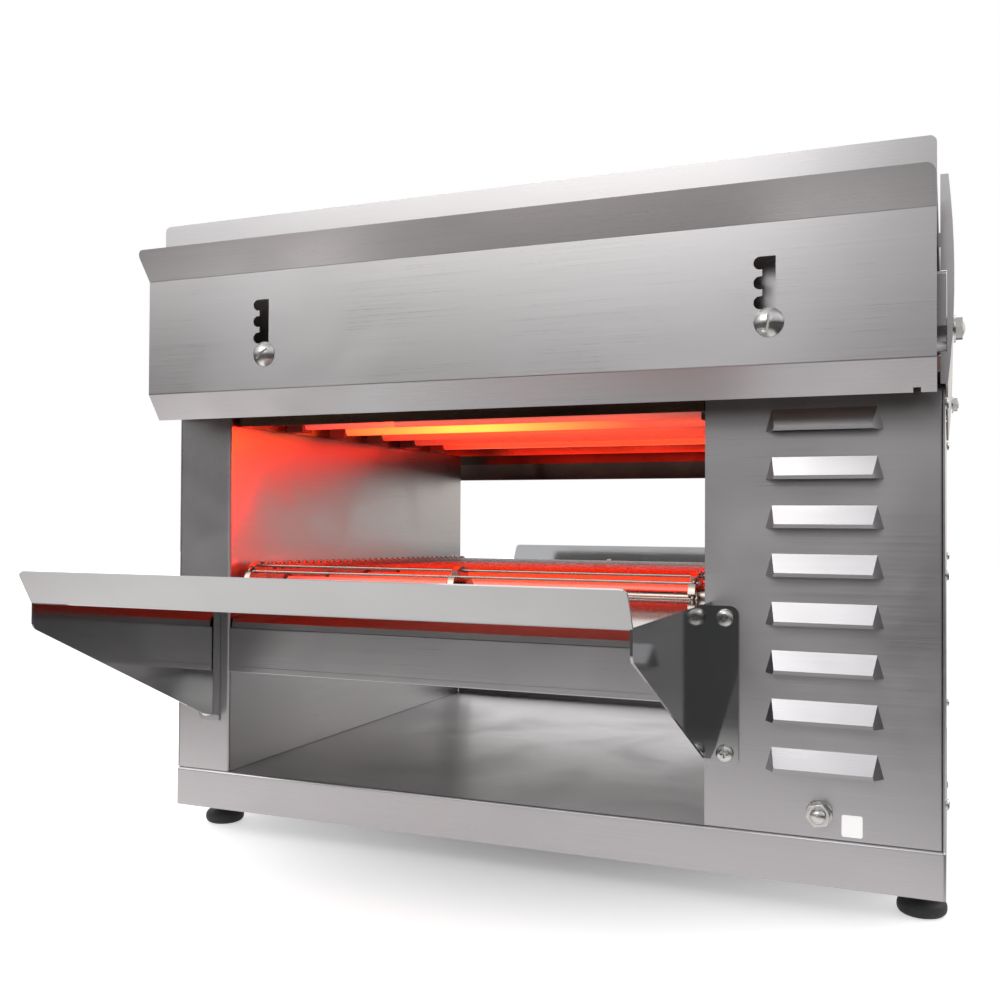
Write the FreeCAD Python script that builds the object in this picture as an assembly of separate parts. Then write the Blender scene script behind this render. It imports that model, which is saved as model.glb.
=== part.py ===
import FreeCAD, Part
import math
import os
from FreeCAD import Vector

# Pass-through conveyor salamander, in millimetres.
# X runs to the right seen from the front, Y to the rear, Z up.
# The origin is on the floor, under the middle of the cabinet.

# Cabinet
body_width = 600.0
body_depth = 460.0
left_pier_width = 51.0
right_pier_width = 154.0
pier_top = 350.0
sheet = 1.2
bend = 1.0
seat_gap = 0.3
fit_gap = 0.05
cover_gap = 0.3
floor_flange = 14.0
wall_flange = 13.0

# Base pan and feet
foot_height = 24.0
foot_radius = 16.2
foot_disc_height = 11.0
foot_edge_radius = 4.5
foot_dish = 0.8
foot_neck_radius = 9.0
foot_neck_fillet = 1.0
foot_neck_taper = 0.6
foot_from_side = 15.0
foot_from_front = 45.0
foot_recess_radius = 6.5
foot_recess_depth = 8.0
foot_bolt_radius = 3.0
foot_bolt_head = 5.5
foot_bolt_head_height = 4.0
foot_nut_height = 5.0
foot_nut_across_flats = 10.0
pan_height = 31.0
pan_proud_front = 1.5
pan_proud_side = 0.5
pan_side_flange = 36.0
pan_front_flange = 14.0

# Louvred front panel
panel_return = 25.0
panel_lip = 10.0
panel_inset = 0.6
panel_top_gap = 1.5
louvre_count = 8
louvre_pitch = 32.5
louvre_lowest = 97.5
louvre_from_inner_edge = 78.8
louvre_width = 76.6
louvre_top_width = 68.0
louvre_height = 16.0
louvre_depth = 8.0
louvre_front_width = 64.0
louvre_front_lip = 2.5
louvre_front_taper = 1.5
louvre_undercut = 4.0

# Side screws
side_screw_heights = (81.7, 230.2, 341.6)
side_screw_from_front = 15.0
side_screw_radius = 2.0
side_screw_head = 4.0
side_screw_head_height = 2.6

# Cross members and crumb tray
apron_below_shaft = 35.0
apron_height = 36.7
apron_return = 20.0
apron_hem = 5.0
apron_groove_height = 0.6
apron_groove_depth = 0.4
tray_sheet = 1.0
tray_wall = 7.5
tray_lip = 4.7
tray_side_gap = 2.5
rail_width = 14.0
rail_drop = 16.0

# Conveyor
belt_pitch = 12.0
belt_end_room = 26.0
sprocket_teeth = 8
drive_height = 209.0
belt_fall = 7.0
shaft_radius = 5.0
sprocket_tip_radius = 19.0
sprocket_thickness = 5.0
sprocket_hub_overhang = 6.0
sprocket_root_play = 0.2
sprocket_from_wall = 8.4
hub_radius = 9.0
belt_rod_radius = 1.3
links_per_rod = 2
band_height = 5.0
band_thickness = 1.5
band_side_gap = 0.8
bearing_radius = 8.0
bearing_flange_radius = 12.0
bearing_flange = 3.0
bearing_length = 9.0
bearing_stand = 1.0
shaft_overhang = 6.0
shaft_chamfer = 0.8

# Gear motor
gearbox_size_x = 42.0
gearbox_size_y = 58.0
gearbox_size_z = 62.0
gearbox_front_margin = 18.0
gearbox_below_shaft = 26.0
gearbox_pad = 4.8
gearbox_pad_radius = 5.0
motor_radius = 27.0
motor_length = 62.0
gearbox_edge_radius = 4.0
gearbox_end_wall = 8.0
shaft_short_of_gearbox = 10.0

# Heaters
tube_count = 5
tube_from_front = 86.0
tube_radius = 5.0
upper_tube_below_top = 1.0
holder_size = 16.0
holder_height = 20.0
holder_bore = 9.0
holder_above_edge = 1.0
tube_play = 0.3
ceramic_radius = 7.0
ceramic_collar_radius = 10.0
ceramic_collar = 3.0
ceramic_length = 18.0
ceramic_proud = 1.5
ceramic_end_wall = 5.0
lower_tube_end_gap = 6.0

# Hood
hood_inset = 12.0
hood_overhang = 26.0
hood_height = 131.5
reflector_drop = 9.0
reflector_rise = 25.0
reflector_side_gap = 2.0
reflector_end_gap = 8.0
reflector_sheet = 1.0
reflector_flange = 10.0

# Top tray
tray_proud_side = 7.7
tray_proud_front = 1.0
tray_front_rise = 22.9
tray_cheek_drop = 38.5
tray_corner_radius = 4.5

# Hood side panels, with distances out from the hood and up from its foot
side_panel_below_top = 1.5
side_panel_front_gap = 1.0
side_panel_top_reach = 14.2
side_panel_mid_reach = 17.3
side_panel_low_reach = 13.8
side_panel_mid_rise = 50.0
side_flange_reach = 9.5
side_tab_rise = 85.0
side_tab_height = 8.5
side_tab_reach = 8.0
lug_width = 32.0
lug_bolt_rise = 36.0
lug_rise = 70.0
lug_thickness = 1.5
lug_reach = 13.0
lug_from_front = 17.0
lug_bend = 0.5
lug_boss_wall = 3.0
cap_bolt_radius = 4.0
cap_nut_across_flats = 13.0
cap_nut_height = 4.0
cap_washer_radius = 8.5
cap_washer = 1.2
cap_dome_radius = 5.2
cap_dome_height = 1.6
cap_bolt_head = 5.0
cap_bolt_inside = 8.0

# Shields, with heights up from the foot of the hood
shield_sheet = 1.2
shield_stand_off = 20.0
shield_lip_back = 13.0
shield_lip_drop = 5.8
shield_low_bend_rise = 14.0
shield_top_bend_rise = 105.0
shield_flare_out = 16.2
shield_rise = 127.1
shield_corner_radius = 6.0
rear_shield_drop = 31.0
shield_screw_rise = 41.1
shield_screw_from_left = 114.6
shield_screw_from_right = 103.5
slot_width = 8.4
slot_corner = 0.6
notch_depth = 5.6
notch_pitch = 12.7
notch_count = 4
screw_shank_radius = 4.0
screw_head_radius = 9.5
screw_head_height = 4.5
screw_slot_width = 2.0
screw_slot_depth = 1.6
screw_slot_angle_left = 35.0
screw_slot_angle_right = 80.0
spacer_radius = 7.0
spacer_gap = 0.3
shield_screw_length = 12.0
lip_notch_from_end = 9.2
lip_notch_width = 4.5
lip_notch_depth = 3.0

# Shelves
shelf_sheet = 1.5
shelf_over_left = 10.2
shelf_over_right = 4.8
shelf_below_shaft = 0.2
shelf_reach = 201.0
shelf_lip_out = 11.8
shelf_lip_rise = 20.8
shelf_lip_corner = 4.0
shelf_bend_reach = 2.0
shelf_bend_out = 1.3
cheek_front_height = 17.5
cheek_low = 101.0
cheek_low_reach = 20.0
cheek_low_rise = 4.5
cheek_corner = 6.0
cheek_proud = 0.9
shelf_flange_width = 19.0
shelf_flange_bottom = 96.9
shelf_flange_top = 206.5
shelf_flange_corner = 6.0
shelf_screw_heights = (105.8, 198.3)
shelf_screw_from_cheek = 9.8
shelf_screw_head = 6.0
shelf_screw_head_height = 3.6
shelf_screw_radius = 3.0
shelf_screw_length = 3.0

# Bonding terminal
bonding_from_inner_edge = 76.2
bonding_height = 71.4
bonding_radius = 4.0
bonding_across_flats = 14.0
bonding_nut_height = 6.5
bonding_washer_radius = 8.6
bonding_washer = 1.4
bonding_dome_radius = 5.2
bonding_dome_height = 4.5
bonding_length = 16.0

# Controls on the rear panel
control_from_inner_edge = 76.5
knob_above_switch = 56.0
knob_spacing = 54.0
knob_names = ("belt_speed", "lower_heat", "upper_heat")
knob_skirt_radius = 20.0
knob_skirt = 3.0
knob_grip_radius = 14.0
knob_height = 20.0
knob_gap = 0.6
knob_pointer_width = 5.0
knob_pointer_overhang = 3.0
knob_edge_radius = 1.5
knob_taper = 1.0
knob_stem = 10.0
knob_pointer_below_top = 2.0
control_bush_proud = 0.3
control_shaft_bore = 12.0
knob_shaft_radius = 3.0
control_bush_radius = 4.8
control_body_radius = 14.0
control_body_depth = 18.0
switch_height = 140.0
switch_width = 22.0
switch_tall = 28.0
switch_bezel = 2.0
switch_bezel_width = 2.5
switch_body_depth = 20.0
rocker_radius = 16.0
rocker_tilt = 8.0
rocker_play = 0.5
rocker_pin_radius = 1.5
rocker_depth = 4.0
rocker_dip = 1.5
rocker_side = 4.0
rocker_back = 2.0
rocker_end_share = 0.92
switch_wall = 1.5
lamp_above_switch = 25.0
lamp_radius = 5.0
lamp_bezel_radius = 7.0
lamp_depth = 12.0
lamp_bezel = 1.5
lamp_dome_height = 2.5
gland_height = 84.0
gland_radius = 8.0
gland_across_flats = 24.0
gland_bore_radius = 5.5
gland_hex_height = 6.0
gland_nut_height = 14.0
gland_nut_end = 4.0
gland_nut_edge = 1.0
gland_lock_height = 5.0
gland_inside = 10.0

# Cooling fan
fan_size = 80.0
fan_height = 25.0
fan_from_inner_wall = 36.0
fan_middle_y = 60.0
fan_bore_radius = 38.0
fan_rotor_radius = 36.5
fan_hub_radius = 16.0
fan_blades = 7
fan_blade_pitch = 35.0
fan_blade_thickness = 1.4
fan_pin_radius = 2.0
fan_strut = 4.0
fan_vent_count = 5
fan_vent_width = 6.0
fan_corner_radius = 4.0
fan_strut_height = 3.0
fan_seat_height = 4.0
fan_pin_below_top = 8.0
fan_pin_play = 0.5
fan_rotor_below_top = 2.0
fan_blade_height = 20.0

# Places worked out from the sizes above
x_right = body_width / 2
x_left = -x_right
y_face = body_depth / 2
tunnel_left = x_left + left_pier_width
tunnel_right = x_right - right_pier_width
tunnel_middle = (tunnel_left + tunnel_right) / 2
pan_top = foot_height + pan_height
cover_inner = x_right - sheet
panel_right = cover_inner - cover_gap
panel_left = tunnel_right + panel_inset
panel_back = y_face - sheet
panel_bottom = pan_top + seat_gap
panel_top = pier_top - panel_top_gap
control_x = panel_left + control_from_inner_edge
hood_x = x_right - hood_inset
hood_y = y_face + hood_overhang
hood_top = pier_top + hood_height
tray_x = hood_x + tray_proud_side
tray_y = hood_y + tray_proud_front
reflector_bottom = pier_top - reflector_drop
reflector_top = pier_top + reflector_rise
reflector_y = y_face - reflector_end_gap
upper_tube_height = pier_top - upper_tube_below_top
side_panel_top = hood_top - side_panel_below_top
side_panel_middle = pier_top + side_panel_mid_rise
side_panel_top_x = hood_x + side_panel_top_reach
side_panel_mid_x = hood_x + side_panel_mid_reach
side_panel_low_x = hood_x + side_panel_low_reach
lug_x = hood_x + lug_reach
lug_bolt_height = pier_top + lug_bolt_rise
lug_top = pier_top + lug_rise
lug_y = hood_y - lug_from_front
shield_face = hood_y + shield_stand_off
shield_lip_bottom = pier_top - shield_lip_drop
shield_low_bend = pier_top + shield_low_bend_rise
shield_top_bend = pier_top + shield_top_bend_rise
shield_top = pier_top + shield_rise
shield_screw_height = pier_top + shield_screw_rise
slot_top = shield_screw_height + (notch_count - 1) * notch_pitch + slot_width / 2
apron_top = drive_height - apron_below_shaft
shelf_height = drive_height - shelf_below_shaft
shelf_left = tunnel_left - shelf_over_left
shelf_right = tunnel_right + shelf_over_right
belt_links = 2 * int((body_depth - 2 * belt_end_room) / (2 * belt_pitch))
pitch_radius = belt_pitch / (2 * math.sin(math.pi / sprocket_teeth))
shaft_distance = belt_pitch * belt_links
shaft_y = math.sqrt(shaft_distance ** 2 - belt_fall ** 2) / 2
idler_height = drive_height - belt_fall
belt_tilt = math.asin(belt_fall / shaft_distance)
sprocket_outer = tunnel_right - sprocket_from_wall
sprocket_inner = sprocket_outer - sprocket_thickness
tube_spacing = (body_depth - 2 * tube_from_front) / (tube_count - 1)
tube_places = [(i - (tube_count - 1) / 2) * tube_spacing for i in range(tube_count)]
shield_screws = {"left": x_left + shield_screw_from_left, "right": x_right - shield_screw_from_right}
rocker_pivot_y = y_face + switch_bezel - rocker_radius + rocker_depth
lamp_height = switch_height + lamp_above_switch
knob_heights = [switch_height + knob_above_switch + i * knob_spacing for i in range(len(knob_names))]


def mirror_x(shape):
    return shape.mirror(Vector(0, 0, 0), Vector(1, 0, 0))


def mirror_y(shape):
    return shape.mirror(Vector(0, 0, 0), Vector(0, 1, 0))


def block(x_span, y_span, z_span):
    size_x = x_span[1] - x_span[0]
    size_y = y_span[1] - y_span[0]
    size_z = z_span[1] - z_span[0]
    return Part.makeBox(size_x, size_y, size_z, Vector(x_span[0], y_span[0], z_span[0]))


def place(axis, a, b, along):
    if axis == "x":
        return Vector(along, a, b)
    if axis == "y":
        return Vector(a, along, b)
    return Vector(a, b, along)


def rounded_wire(points, axis, along, radii=0.0):
    # A closed outline in the plane across the axis, with an arc at each corner that has a radius.
    count = len(points)
    if not isinstance(radii, (list, tuple)):
        radii = [radii] * count
    corners = [place(axis, a, b, along) for a, b in points]
    arcs = []
    for i in range(count):
        corner = corners[i]
        to_before = corners[i - 1].sub(corner).normalize()
        to_after = corners[(i + 1) % count].sub(corner).normalize()
        half = to_before.getAngle(to_after) / 2
        if radii[i] <= 0:
            arcs.append((corner, None, corner))
            continue
        reach = radii[i] / math.tan(half)
        middle = (to_before + to_after).normalize() * (radii[i] / math.sin(half) - radii[i])
        arcs.append((corner + to_before * reach, corner + middle, corner + to_after * reach))
    edges = []
    for i in range(count):
        start, middle, end = arcs[i]
        if middle is not None:
            edges.append(Part.Arc(start, middle, end).toShape())
        edges.append(Part.LineSegment(end, arcs[(i + 1) % count][0]).toShape())
    return Part.Wire(edges)


def prism(points, axis, start, end, radii=0.0):
    face = Part.Face(rounded_wire(points, axis, start, radii))
    return face.extrude(place(axis, 0, 0, end - start))


def folded_sheet(points, thickness, inner_radius, axis, start, end):
    # A sheet bent along a path; the thickness is laid on the left of the path.
    far_side = []
    near_radii = []
    far_radii = []
    for i, (a, b) in enumerate(points):
        normals = []
        for first, second in ((i - 1, i), (i, i + 1)):
            if first >= 0 and second < len(points):
                da = points[second][0] - points[first][0]
                db = points[second][1] - points[first][1]
                length = math.hypot(da, db)
                normals.append((-db / length, da / length))
        if len(normals) == 1:
            far_side.append((a + normals[0][0] * thickness, b + normals[0][1] * thickness))
            near_radii.append(0.0)
            far_radii.append(0.0)
            continue
        (a1, b1), (a2, b2) = normals
        scale = thickness / (1 + a1 * a2 + b1 * b2)
        far_side.append((a + (a1 + a2) * scale, b + (b1 + b2) * scale))
        turns_left = a1 * b2 - b1 * a2 > 0
        near_radii.append(inner_radius + (thickness if turns_left else 0.0))
        far_radii.append(inner_radius + (0.0 if turns_left else thickness))
    outline = list(points) + far_side[::-1]
    return prism(outline, axis, start, end, near_radii + far_radii[::-1])


def rod(axis, a, b, start, end, radius):
    return Part.makeCylinder(radius, end - start, place(axis, a, b, start), place(axis, 0, 0, 1))


def tube(axis, a, b, start, end, outer_radius, inner_radius):
    outer = rod(axis, a, b, start, end, outer_radius)
    return outer.cut(rod(axis, a, b, start - 1, end + 1, inner_radius))


def hexagon(axis, a, b, start, end, across_flats):
    radius = across_flats / math.sqrt(3)
    points = []
    for i in range(6):
        angle = math.radians(60 * i)
        points.append((a + radius * math.cos(angle), b + radius * math.sin(angle)))
    return prism(points, axis, start, end)


def dome(axis, a, b, start, radius, height, direction):
    # A low round head: an arc from its rim to its top, turned about the axis.
    ball_radius = (radius ** 2 + height ** 2) / (2 * height)
    centre = start + direction * (height - ball_radius)
    half_angle = math.asin(radius / ball_radius) / 2
    seat = place(axis, a, b, start)
    rim = place(axis, a + radius, b, start)
    top = place(axis, a, b, start + direction * height)
    half_way = place(axis, a + ball_radius * math.sin(half_angle), b,
                     centre + direction * ball_radius * math.cos(half_angle))
    outline = [Part.Arc(rim, half_way, top).toShape(), Part.LineSegment(top, seat).toShape(),
               Part.LineSegment(seat, rim).toShape()]
    return Part.Face(Part.Wire(outline)).revolve(seat, place(axis, 0, 0, 1), 360)


def pan_head(axis, a, b, start, radius, height, direction):
    # A screw head: a short rim and a cone above it.
    tip = start + direction * height
    rim = start + direction * 0.4 * height
    head = rod(axis, a, b, min(start, rim), max(start, rim), radius)
    cone = Part.makeCone(radius, 0.65 * radius, abs(tip - rim), place(axis, a, b, rim),
                         place(axis, 0, 0, direction))
    return head.fuse(cone)


def filleted(shape, radius, wanted):
    edges = [edge for edge in shape.Edges if wanted(edge)]
    return shape.makeFillet(radius, edges)


def is_vertical(edge):
    first, last = edge.Vertexes[0].Point, edge.Vertexes[-1].Point
    return abs(first.x - last.x) < 1e-6 and abs(first.y - last.y) < 1e-6


# Base pan and feet

def foot_places():
    x = x_right - foot_from_side
    y = y_face - foot_from_front
    return {"front_left": (-x, -y), "front_right": (x, -y), "rear_left": (-x, y), "rear_right": (x, y)}


def fan_middle():
    return tunnel_right + fan_from_inner_wall + fan_size / 2, fan_middle_y


def base_pan():
    x = x_right + pan_proud_side
    y = y_face + pan_proud_front
    outer_radius = bend + sheet
    outer = block((-x, x), (-y, y), (foot_height, pan_top))
    outer = filleted(outer, outer_radius, lambda e: is_vertical(e) or e.BoundBox.ZMin > pan_top - 0.01)
    hollow = block((sheet - x, x - sheet), (sheet - y, y - sheet), (foot_height - 1, pan_top - sheet))
    hollow = filleted(hollow, bend, lambda e: is_vertical(e) or e.BoundBox.ZMin > pan_top - sheet - 0.01)
    pan = outer.cut(hollow)
    ring = block((sheet - x, x - sheet), (sheet - y, y - sheet), (foot_height, foot_height + sheet))
    opening_x = x - pan_side_flange
    opening_y = y - pan_front_flange
    ring = ring.cut(block((-opening_x, opening_x), (-opening_y, opening_y), (0, pan_top)))
    pan = pan.fuse(ring)
    for a, b in foot_places().values():
        pan = pan.cut(rod("z", a, b, 0, pan_top - 2 * sheet, foot_bolt_radius + seat_gap))
    fan_x, fan_y = fan_middle()
    for i in range(fan_vent_count):
        offset = (i - (fan_vent_count - 1) / 2) * 2 * fan_vent_width
        half = math.sqrt(fan_bore_radius ** 2 - offset ** 2) - fan_vent_width
        slot_x = (fan_x + offset - fan_vent_width / 2, fan_x + offset + fan_vent_width / 2)
        pan = pan.cut(block(slot_x, (fan_y - half, fan_y + half), (pan_top - 2 * sheet, pan_top + 1)))
    return pan.removeSplitter()


def foot(a, b):
    # A round-edged rubber disc with a neck up to the pan; a corner is a radius, a height and a rounding.
    bore = foot_bolt_radius + fit_gap
    corners = [(bore, foot_recess_depth, 0), (foot_recess_radius, foot_recess_depth, 0),
               (foot_recess_radius, 0, 0), (foot_radius, 0, foot_edge_radius),
               (foot_radius, foot_disc_height, foot_edge_radius),
               (foot_neck_radius, foot_disc_height - foot_dish, foot_neck_fillet),
               (foot_neck_radius - foot_neck_taper, foot_height, 0), (bore, foot_height, 0)]
    outline = rounded_wire([(a + r, z) for r, z, _ in corners], "y", b, [corner[2] for corner in corners])
    return Part.Face(outline).revolve(Vector(a, b, 0), Vector(0, 0, 1), 360)


def foot_bolts():
    pieces = []
    nut_bottom = foot_height + sheet
    for a, b in foot_places().values():
        head_bottom = foot_recess_depth - foot_bolt_head_height
        bolt = rod("z", a, b, head_bottom, foot_recess_depth, foot_bolt_head)
        bolt = bolt.fuse(rod("z", a, b, head_bottom, nut_bottom + foot_nut_height + 1, foot_bolt_radius))
        nut = hexagon("z", a, b, nut_bottom, nut_bottom + foot_nut_height, foot_nut_across_flats)
        nut = nut.cut(rod("z", a, b, nut_bottom - 1, nut_bottom + 20, foot_bolt_radius + fit_gap))
        pieces += [bolt, nut]
    return Part.makeCompound(pieces)


# Piers

def wall_holes(wall, x_span):
    for y, z in ((-shaft_y, drive_height), (shaft_y, idler_height)):
        wall = wall.cut(rod("x", y, z, x_span[0], x_span[1], bearing_radius + fit_gap))
    for y in tube_places:
        wall = wall.cut(rod("x", y, lower_tube_height(y), x_span[0], x_span[1], ceramic_radius + fit_gap))
    return wall


def lower_tube_height(y):
    return (drive_height + idler_height) / 2 - belt_fall * y / shaft_distance


def side_screw_places():
    y = y_face - side_screw_from_front
    return [(side * y, z) for side in (-1, 1) for z in side_screw_heights]


def left_inner_wall():
    # One folded sheet: tunnel side, roof, front and rear faces and a floor flange, open to the left.
    outer_left = x_left + sheet + cover_gap
    y = y_face
    outer = block((outer_left, tunnel_left), (-y, y), (panel_bottom, pier_top))
    on_tunnel_side = lambda e: is_vertical(e) and e.BoundBox.XMin > tunnel_left - 0.01
    outer = filleted(outer, bend + sheet, on_tunnel_side)
    hollow = block((outer_left - 1, tunnel_left - sheet), (sheet - y, y - sheet), (0, pier_top - sheet))
    inner_edge = tunnel_left - sheet
    hollow = filleted(hollow, bend, lambda e: is_vertical(e) and e.BoundBox.XMin > inner_edge - 0.01)
    wall = outer.cut(hollow)
    flange_left = tunnel_left - sheet - floor_flange
    wall = wall.fuse(block((flange_left, tunnel_left - sheet), (sheet - y, y - sheet),
                           (panel_bottom, panel_bottom + sheet)))
    for side in (-1, 1):
        span = sorted((side * (y - sheet), side * (y - panel_return)))
        strip_right = outer_left + sheet
        wall = wall.fuse(block((outer_left, strip_right), span, (panel_bottom, pier_top - sheet)))
    for y_screw, z in side_screw_places():
        wall = wall.cut(rod("x", y_screw, z, outer_left - 1, outer_left + 2 * sheet,
                            side_screw_radius + fit_gap))
    for y_side in (-1, 1):
        for z in shelf_screw_heights:
            x = shelf_left - shelf_screw_from_cheek
            span = sorted((y_side * (y_face - 2), y_side * (y_face + 1)))
            wall = wall.cut(rod("y", x, z, span[0], span[1], shelf_screw_radius + fit_gap))
    wall = wall_holes(wall, (tunnel_left - 2 * sheet, tunnel_left + 1))
    return wall.removeSplitter()


def right_inner_wall():
    y = panel_back - cover_gap
    profile = [(tunnel_right + floor_flange, panel_bottom), (tunnel_right, panel_bottom),
               (tunnel_right, pier_top), (panel_right, pier_top)]
    wall = folded_sheet(profile, -sheet, bend, "y", -y, y)
    for side in (-1, 1):
        span = sorted((side * y, side * (y - sheet)))
        wall = wall.fuse(block((tunnel_right, tunnel_right + wall_flange), span, (panel_bottom, pier_top)))
    wall = wall_holes(wall, (tunnel_right - 1, tunnel_right + 2 * sheet))
    return wall.removeSplitter()


def plain_right_panel():
    # A shallow front with folded top, bottom and outer edges; its face looks towards -Y.
    front = block((panel_left, panel_right), (-y_face, sheet - y_face), (panel_bottom, panel_top))
    lip_left = tunnel_right + wall_flange + 2
    for z in (panel_bottom, panel_top - sheet):
        front = front.fuse(block((lip_left, panel_right), (-y_face, panel_lip - y_face), (z, z + sheet)))
    side = block((panel_right - sheet, panel_right), (-y_face, panel_return - y_face),
                 (panel_bottom, panel_top))
    front = front.fuse(side).removeSplitter()

    def on_outer_edge(edge):
        box = edge.BoundBox
        return is_vertical(edge) and box.XMin > panel_right - 0.01 and box.YMax < 0.01 - y_face

    front = filleted(front, 1.2 * bend, on_outer_edge)
    for y_screw, z in side_screw_places():
        if y_screw < 0:
            front = front.cut(rod("x", y_screw, z, panel_right - 2, panel_right + 1,
                                  side_screw_radius + fit_gap))
    x_screw = shelf_right + shelf_screw_from_cheek
    for z in shelf_screw_heights:
        front = front.cut(rod("y", x_screw, z, -y_face - 1, 2 * sheet - y_face,
                              shelf_screw_radius + fit_gap))
    return front


def louvre(x_middle, z_bottom):
    # A pressed hood, open below; the second value is the opening to cut behind it.
    inside = y_face - sheet / 2
    front_y = y_face + louvre_depth

    def outline(y, bottom_width, top_width, bottom, top):
        points = [(x_middle - bottom_width / 2, bottom), (x_middle + bottom_width / 2, bottom),
                  (x_middle + top_width / 2, top), (x_middle - top_width / 2, top)]
        return rounded_wire(points, "y", -y)

    top = z_bottom + louvre_height
    front_top = z_bottom + louvre_front_lip
    outer = Part.makeLoft([outline(inside, louvre_width, louvre_top_width, z_bottom, top),
                           outline(front_y, louvre_front_width, louvre_front_width - louvre_front_taper,
                                   z_bottom, front_top)],
                          True, True)
    wall = sheet
    below = z_bottom - louvre_undercut
    inner = Part.makeLoft([outline(inside - 1, louvre_width - 2 * wall, louvre_top_width - 2 * wall, below,
                                   top - 1.6 * wall),
                           outline(front_y - wall, louvre_front_width - 2 * wall,
                                   louvre_front_width - 2 * wall - louvre_front_taper, below,
                                   front_top - 0.8 * wall)],
                          True, True)
    window = prism([(x_middle - louvre_width / 2 + wall, z_bottom),
                    (x_middle + louvre_width / 2 - wall, z_bottom),
                    (x_middle + louvre_top_width / 2 - wall, top - 1.6 * wall),
                    (x_middle - louvre_top_width / 2 + wall, top - 1.6 * wall)],
                   "y", -y_face - 1, 2 * sheet - y_face)
    return outer.cut(inner), window


def right_front_panel():
    front = plain_right_panel()
    x_middle = panel_left + louvre_from_inner_edge
    hoods = []
    for i in range(louvre_count):
        hood, window = louvre(x_middle, louvre_lowest + i * louvre_pitch)
        front = front.cut(window)
        hoods.append(hood)
    front = front.fuse(hoods)
    x_stud = panel_left + bonding_from_inner_edge
    front = front.cut(rod("y", x_stud, bonding_height, -y_face - 1, 2 * sheet - y_face,
                          bonding_radius + fit_gap))
    return front.removeSplitter()


def right_rear_panel():
    rear = mirror_y(plain_right_panel())
    span = (y_face - 2 * sheet, y_face + 1)
    for z in knob_heights:
        rear = rear.cut(rod("y", control_x, z, span[0], span[1], control_bush_radius + fit_gap))
    rear = rear.cut(block((control_x - switch_width / 2, control_x + switch_width / 2), span,
                          (switch_height - switch_tall / 2, switch_height + switch_tall / 2)))
    rear = rear.cut(rod("y", control_x, lamp_height, span[0], span[1], lamp_radius + fit_gap))
    rear = rear.cut(rod("y", control_x, gland_height, span[0], span[1], gland_radius + fit_gap))
    return rear.removeSplitter()


def right_side_cover():
    cover = block((cover_inner, x_right), (-y_face, y_face), (panel_bottom, pier_top))
    for z in (panel_bottom + sheet + seat_gap, pier_top - 2 * sheet - seat_gap - sheet):
        lip = block((cover_inner - panel_lip, cover_inner),
                    (2 * panel_return - y_face, y_face - 2 * panel_return),
                    (z, z + sheet))
        cover = cover.fuse(lip)
    for y_screw, z in side_screw_places():
        cover = cover.cut(rod("x", y_screw, z, cover_inner - 1, x_right + 1, side_screw_radius + fit_gap))
    return cover.removeSplitter()


def side_screws():
    pieces = []
    for y_screw, z in side_screw_places():
        screw = rod("x", y_screw, z, panel_right - 2 * sheet, x_right + 1, side_screw_radius)
        screw = screw.fuse(pan_head("x", y_screw, z, x_right, side_screw_head, side_screw_head_height, 1))
        pieces += [screw, mirror_x(screw)]
    return Part.makeCompound(pieces)


# Cross members, crumb tray and its rails

def front_apron():
    x_span = (tunnel_left + seat_gap, tunnel_right - seat_gap)
    bottom = apron_top - apron_height
    profile = [(apron_return - y_face, bottom), (-y_face, bottom), (-y_face, apron_top),
               (apron_return - y_face, apron_top)]
    apron = folded_sheet(profile, -sheet, bend, "x", x_span[0], x_span[1])
    for x in (x_span[0], x_span[1] - sheet):
        end = block((x, x + sheet), (sheet - y_face, apron_return - y_face),
                    (bottom + sheet, apron_top - sheet))
        apron = apron.fuse(end)
    groove_z = bottom + apron_hem
    groove = block((x_span[0] - 1, x_span[1] + 1), (-y_face - 1, apron_groove_depth - y_face),
                   (groove_z, groove_z + apron_groove_height))
    return apron.cut(groove).removeSplitter()


def crumb_tray():
    x_span = (tunnel_left + tray_side_gap, tunnel_right - tray_side_gap)
    y = y_face - seat_gap
    bottom = apron_top + seat_gap
    tray = block(x_span, (-y, y), (bottom, bottom + tray_wall))
    inner_x = (x_span[0] + tray_sheet, x_span[1] - tray_sheet)
    tray = tray.cut(block(inner_x, (tray_sheet - y, y - tray_sheet), (bottom + tray_sheet, pier_top)))
    return tray.cut(block((x_span[0] - 1, x_span[1] + 1), (-y - 1, 1.5 * tray_sheet - y),
                          (bottom + tray_lip, pier_top)))


def tray_rails():
    y = y_face - apron_return - seat_gap
    top = apron_top
    profile = [(tunnel_left + seat_gap, top - rail_drop), (tunnel_left + seat_gap, top),
               (tunnel_left + seat_gap + rail_width, top)]
    left = folded_sheet(profile, -sheet, bend, "y", -y, y)
    right = mirror_x(left)
    right.translate(Vector(2 * tunnel_middle, 0, 0))
    return Part.makeCompound([left, right])


# Conveyor

def racetrack(radius, along):
    # Round both shafts at one distance, tilted like the belt.
    drive = (-shaft_y, drive_height)
    idler = (shaft_y, idler_height)
    lean = (math.sin(belt_tilt), math.cos(belt_tilt))
    forward = (math.cos(belt_tilt), -math.sin(belt_tilt))

    def at(centre, up, ahead):
        return place("x", centre[0] + lean[0] * up + forward[0] * ahead,
                     centre[1] + lean[1] * up + forward[1] * ahead, along)

    top = Part.LineSegment(at(drive, radius, 0), at(idler, radius, 0)).toShape()
    rear = Part.Arc(at(idler, radius, 0), at(idler, 0, radius), at(idler, -radius, 0)).toShape()
    low = Part.LineSegment(at(idler, -radius, 0), at(drive, -radius, 0)).toShape()
    front = Part.Arc(at(drive, -radius, 0), at(drive, 0, -radius), at(drive, radius, 0)).toShape()
    return Part.Wire([top, rear, low, front])


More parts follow.
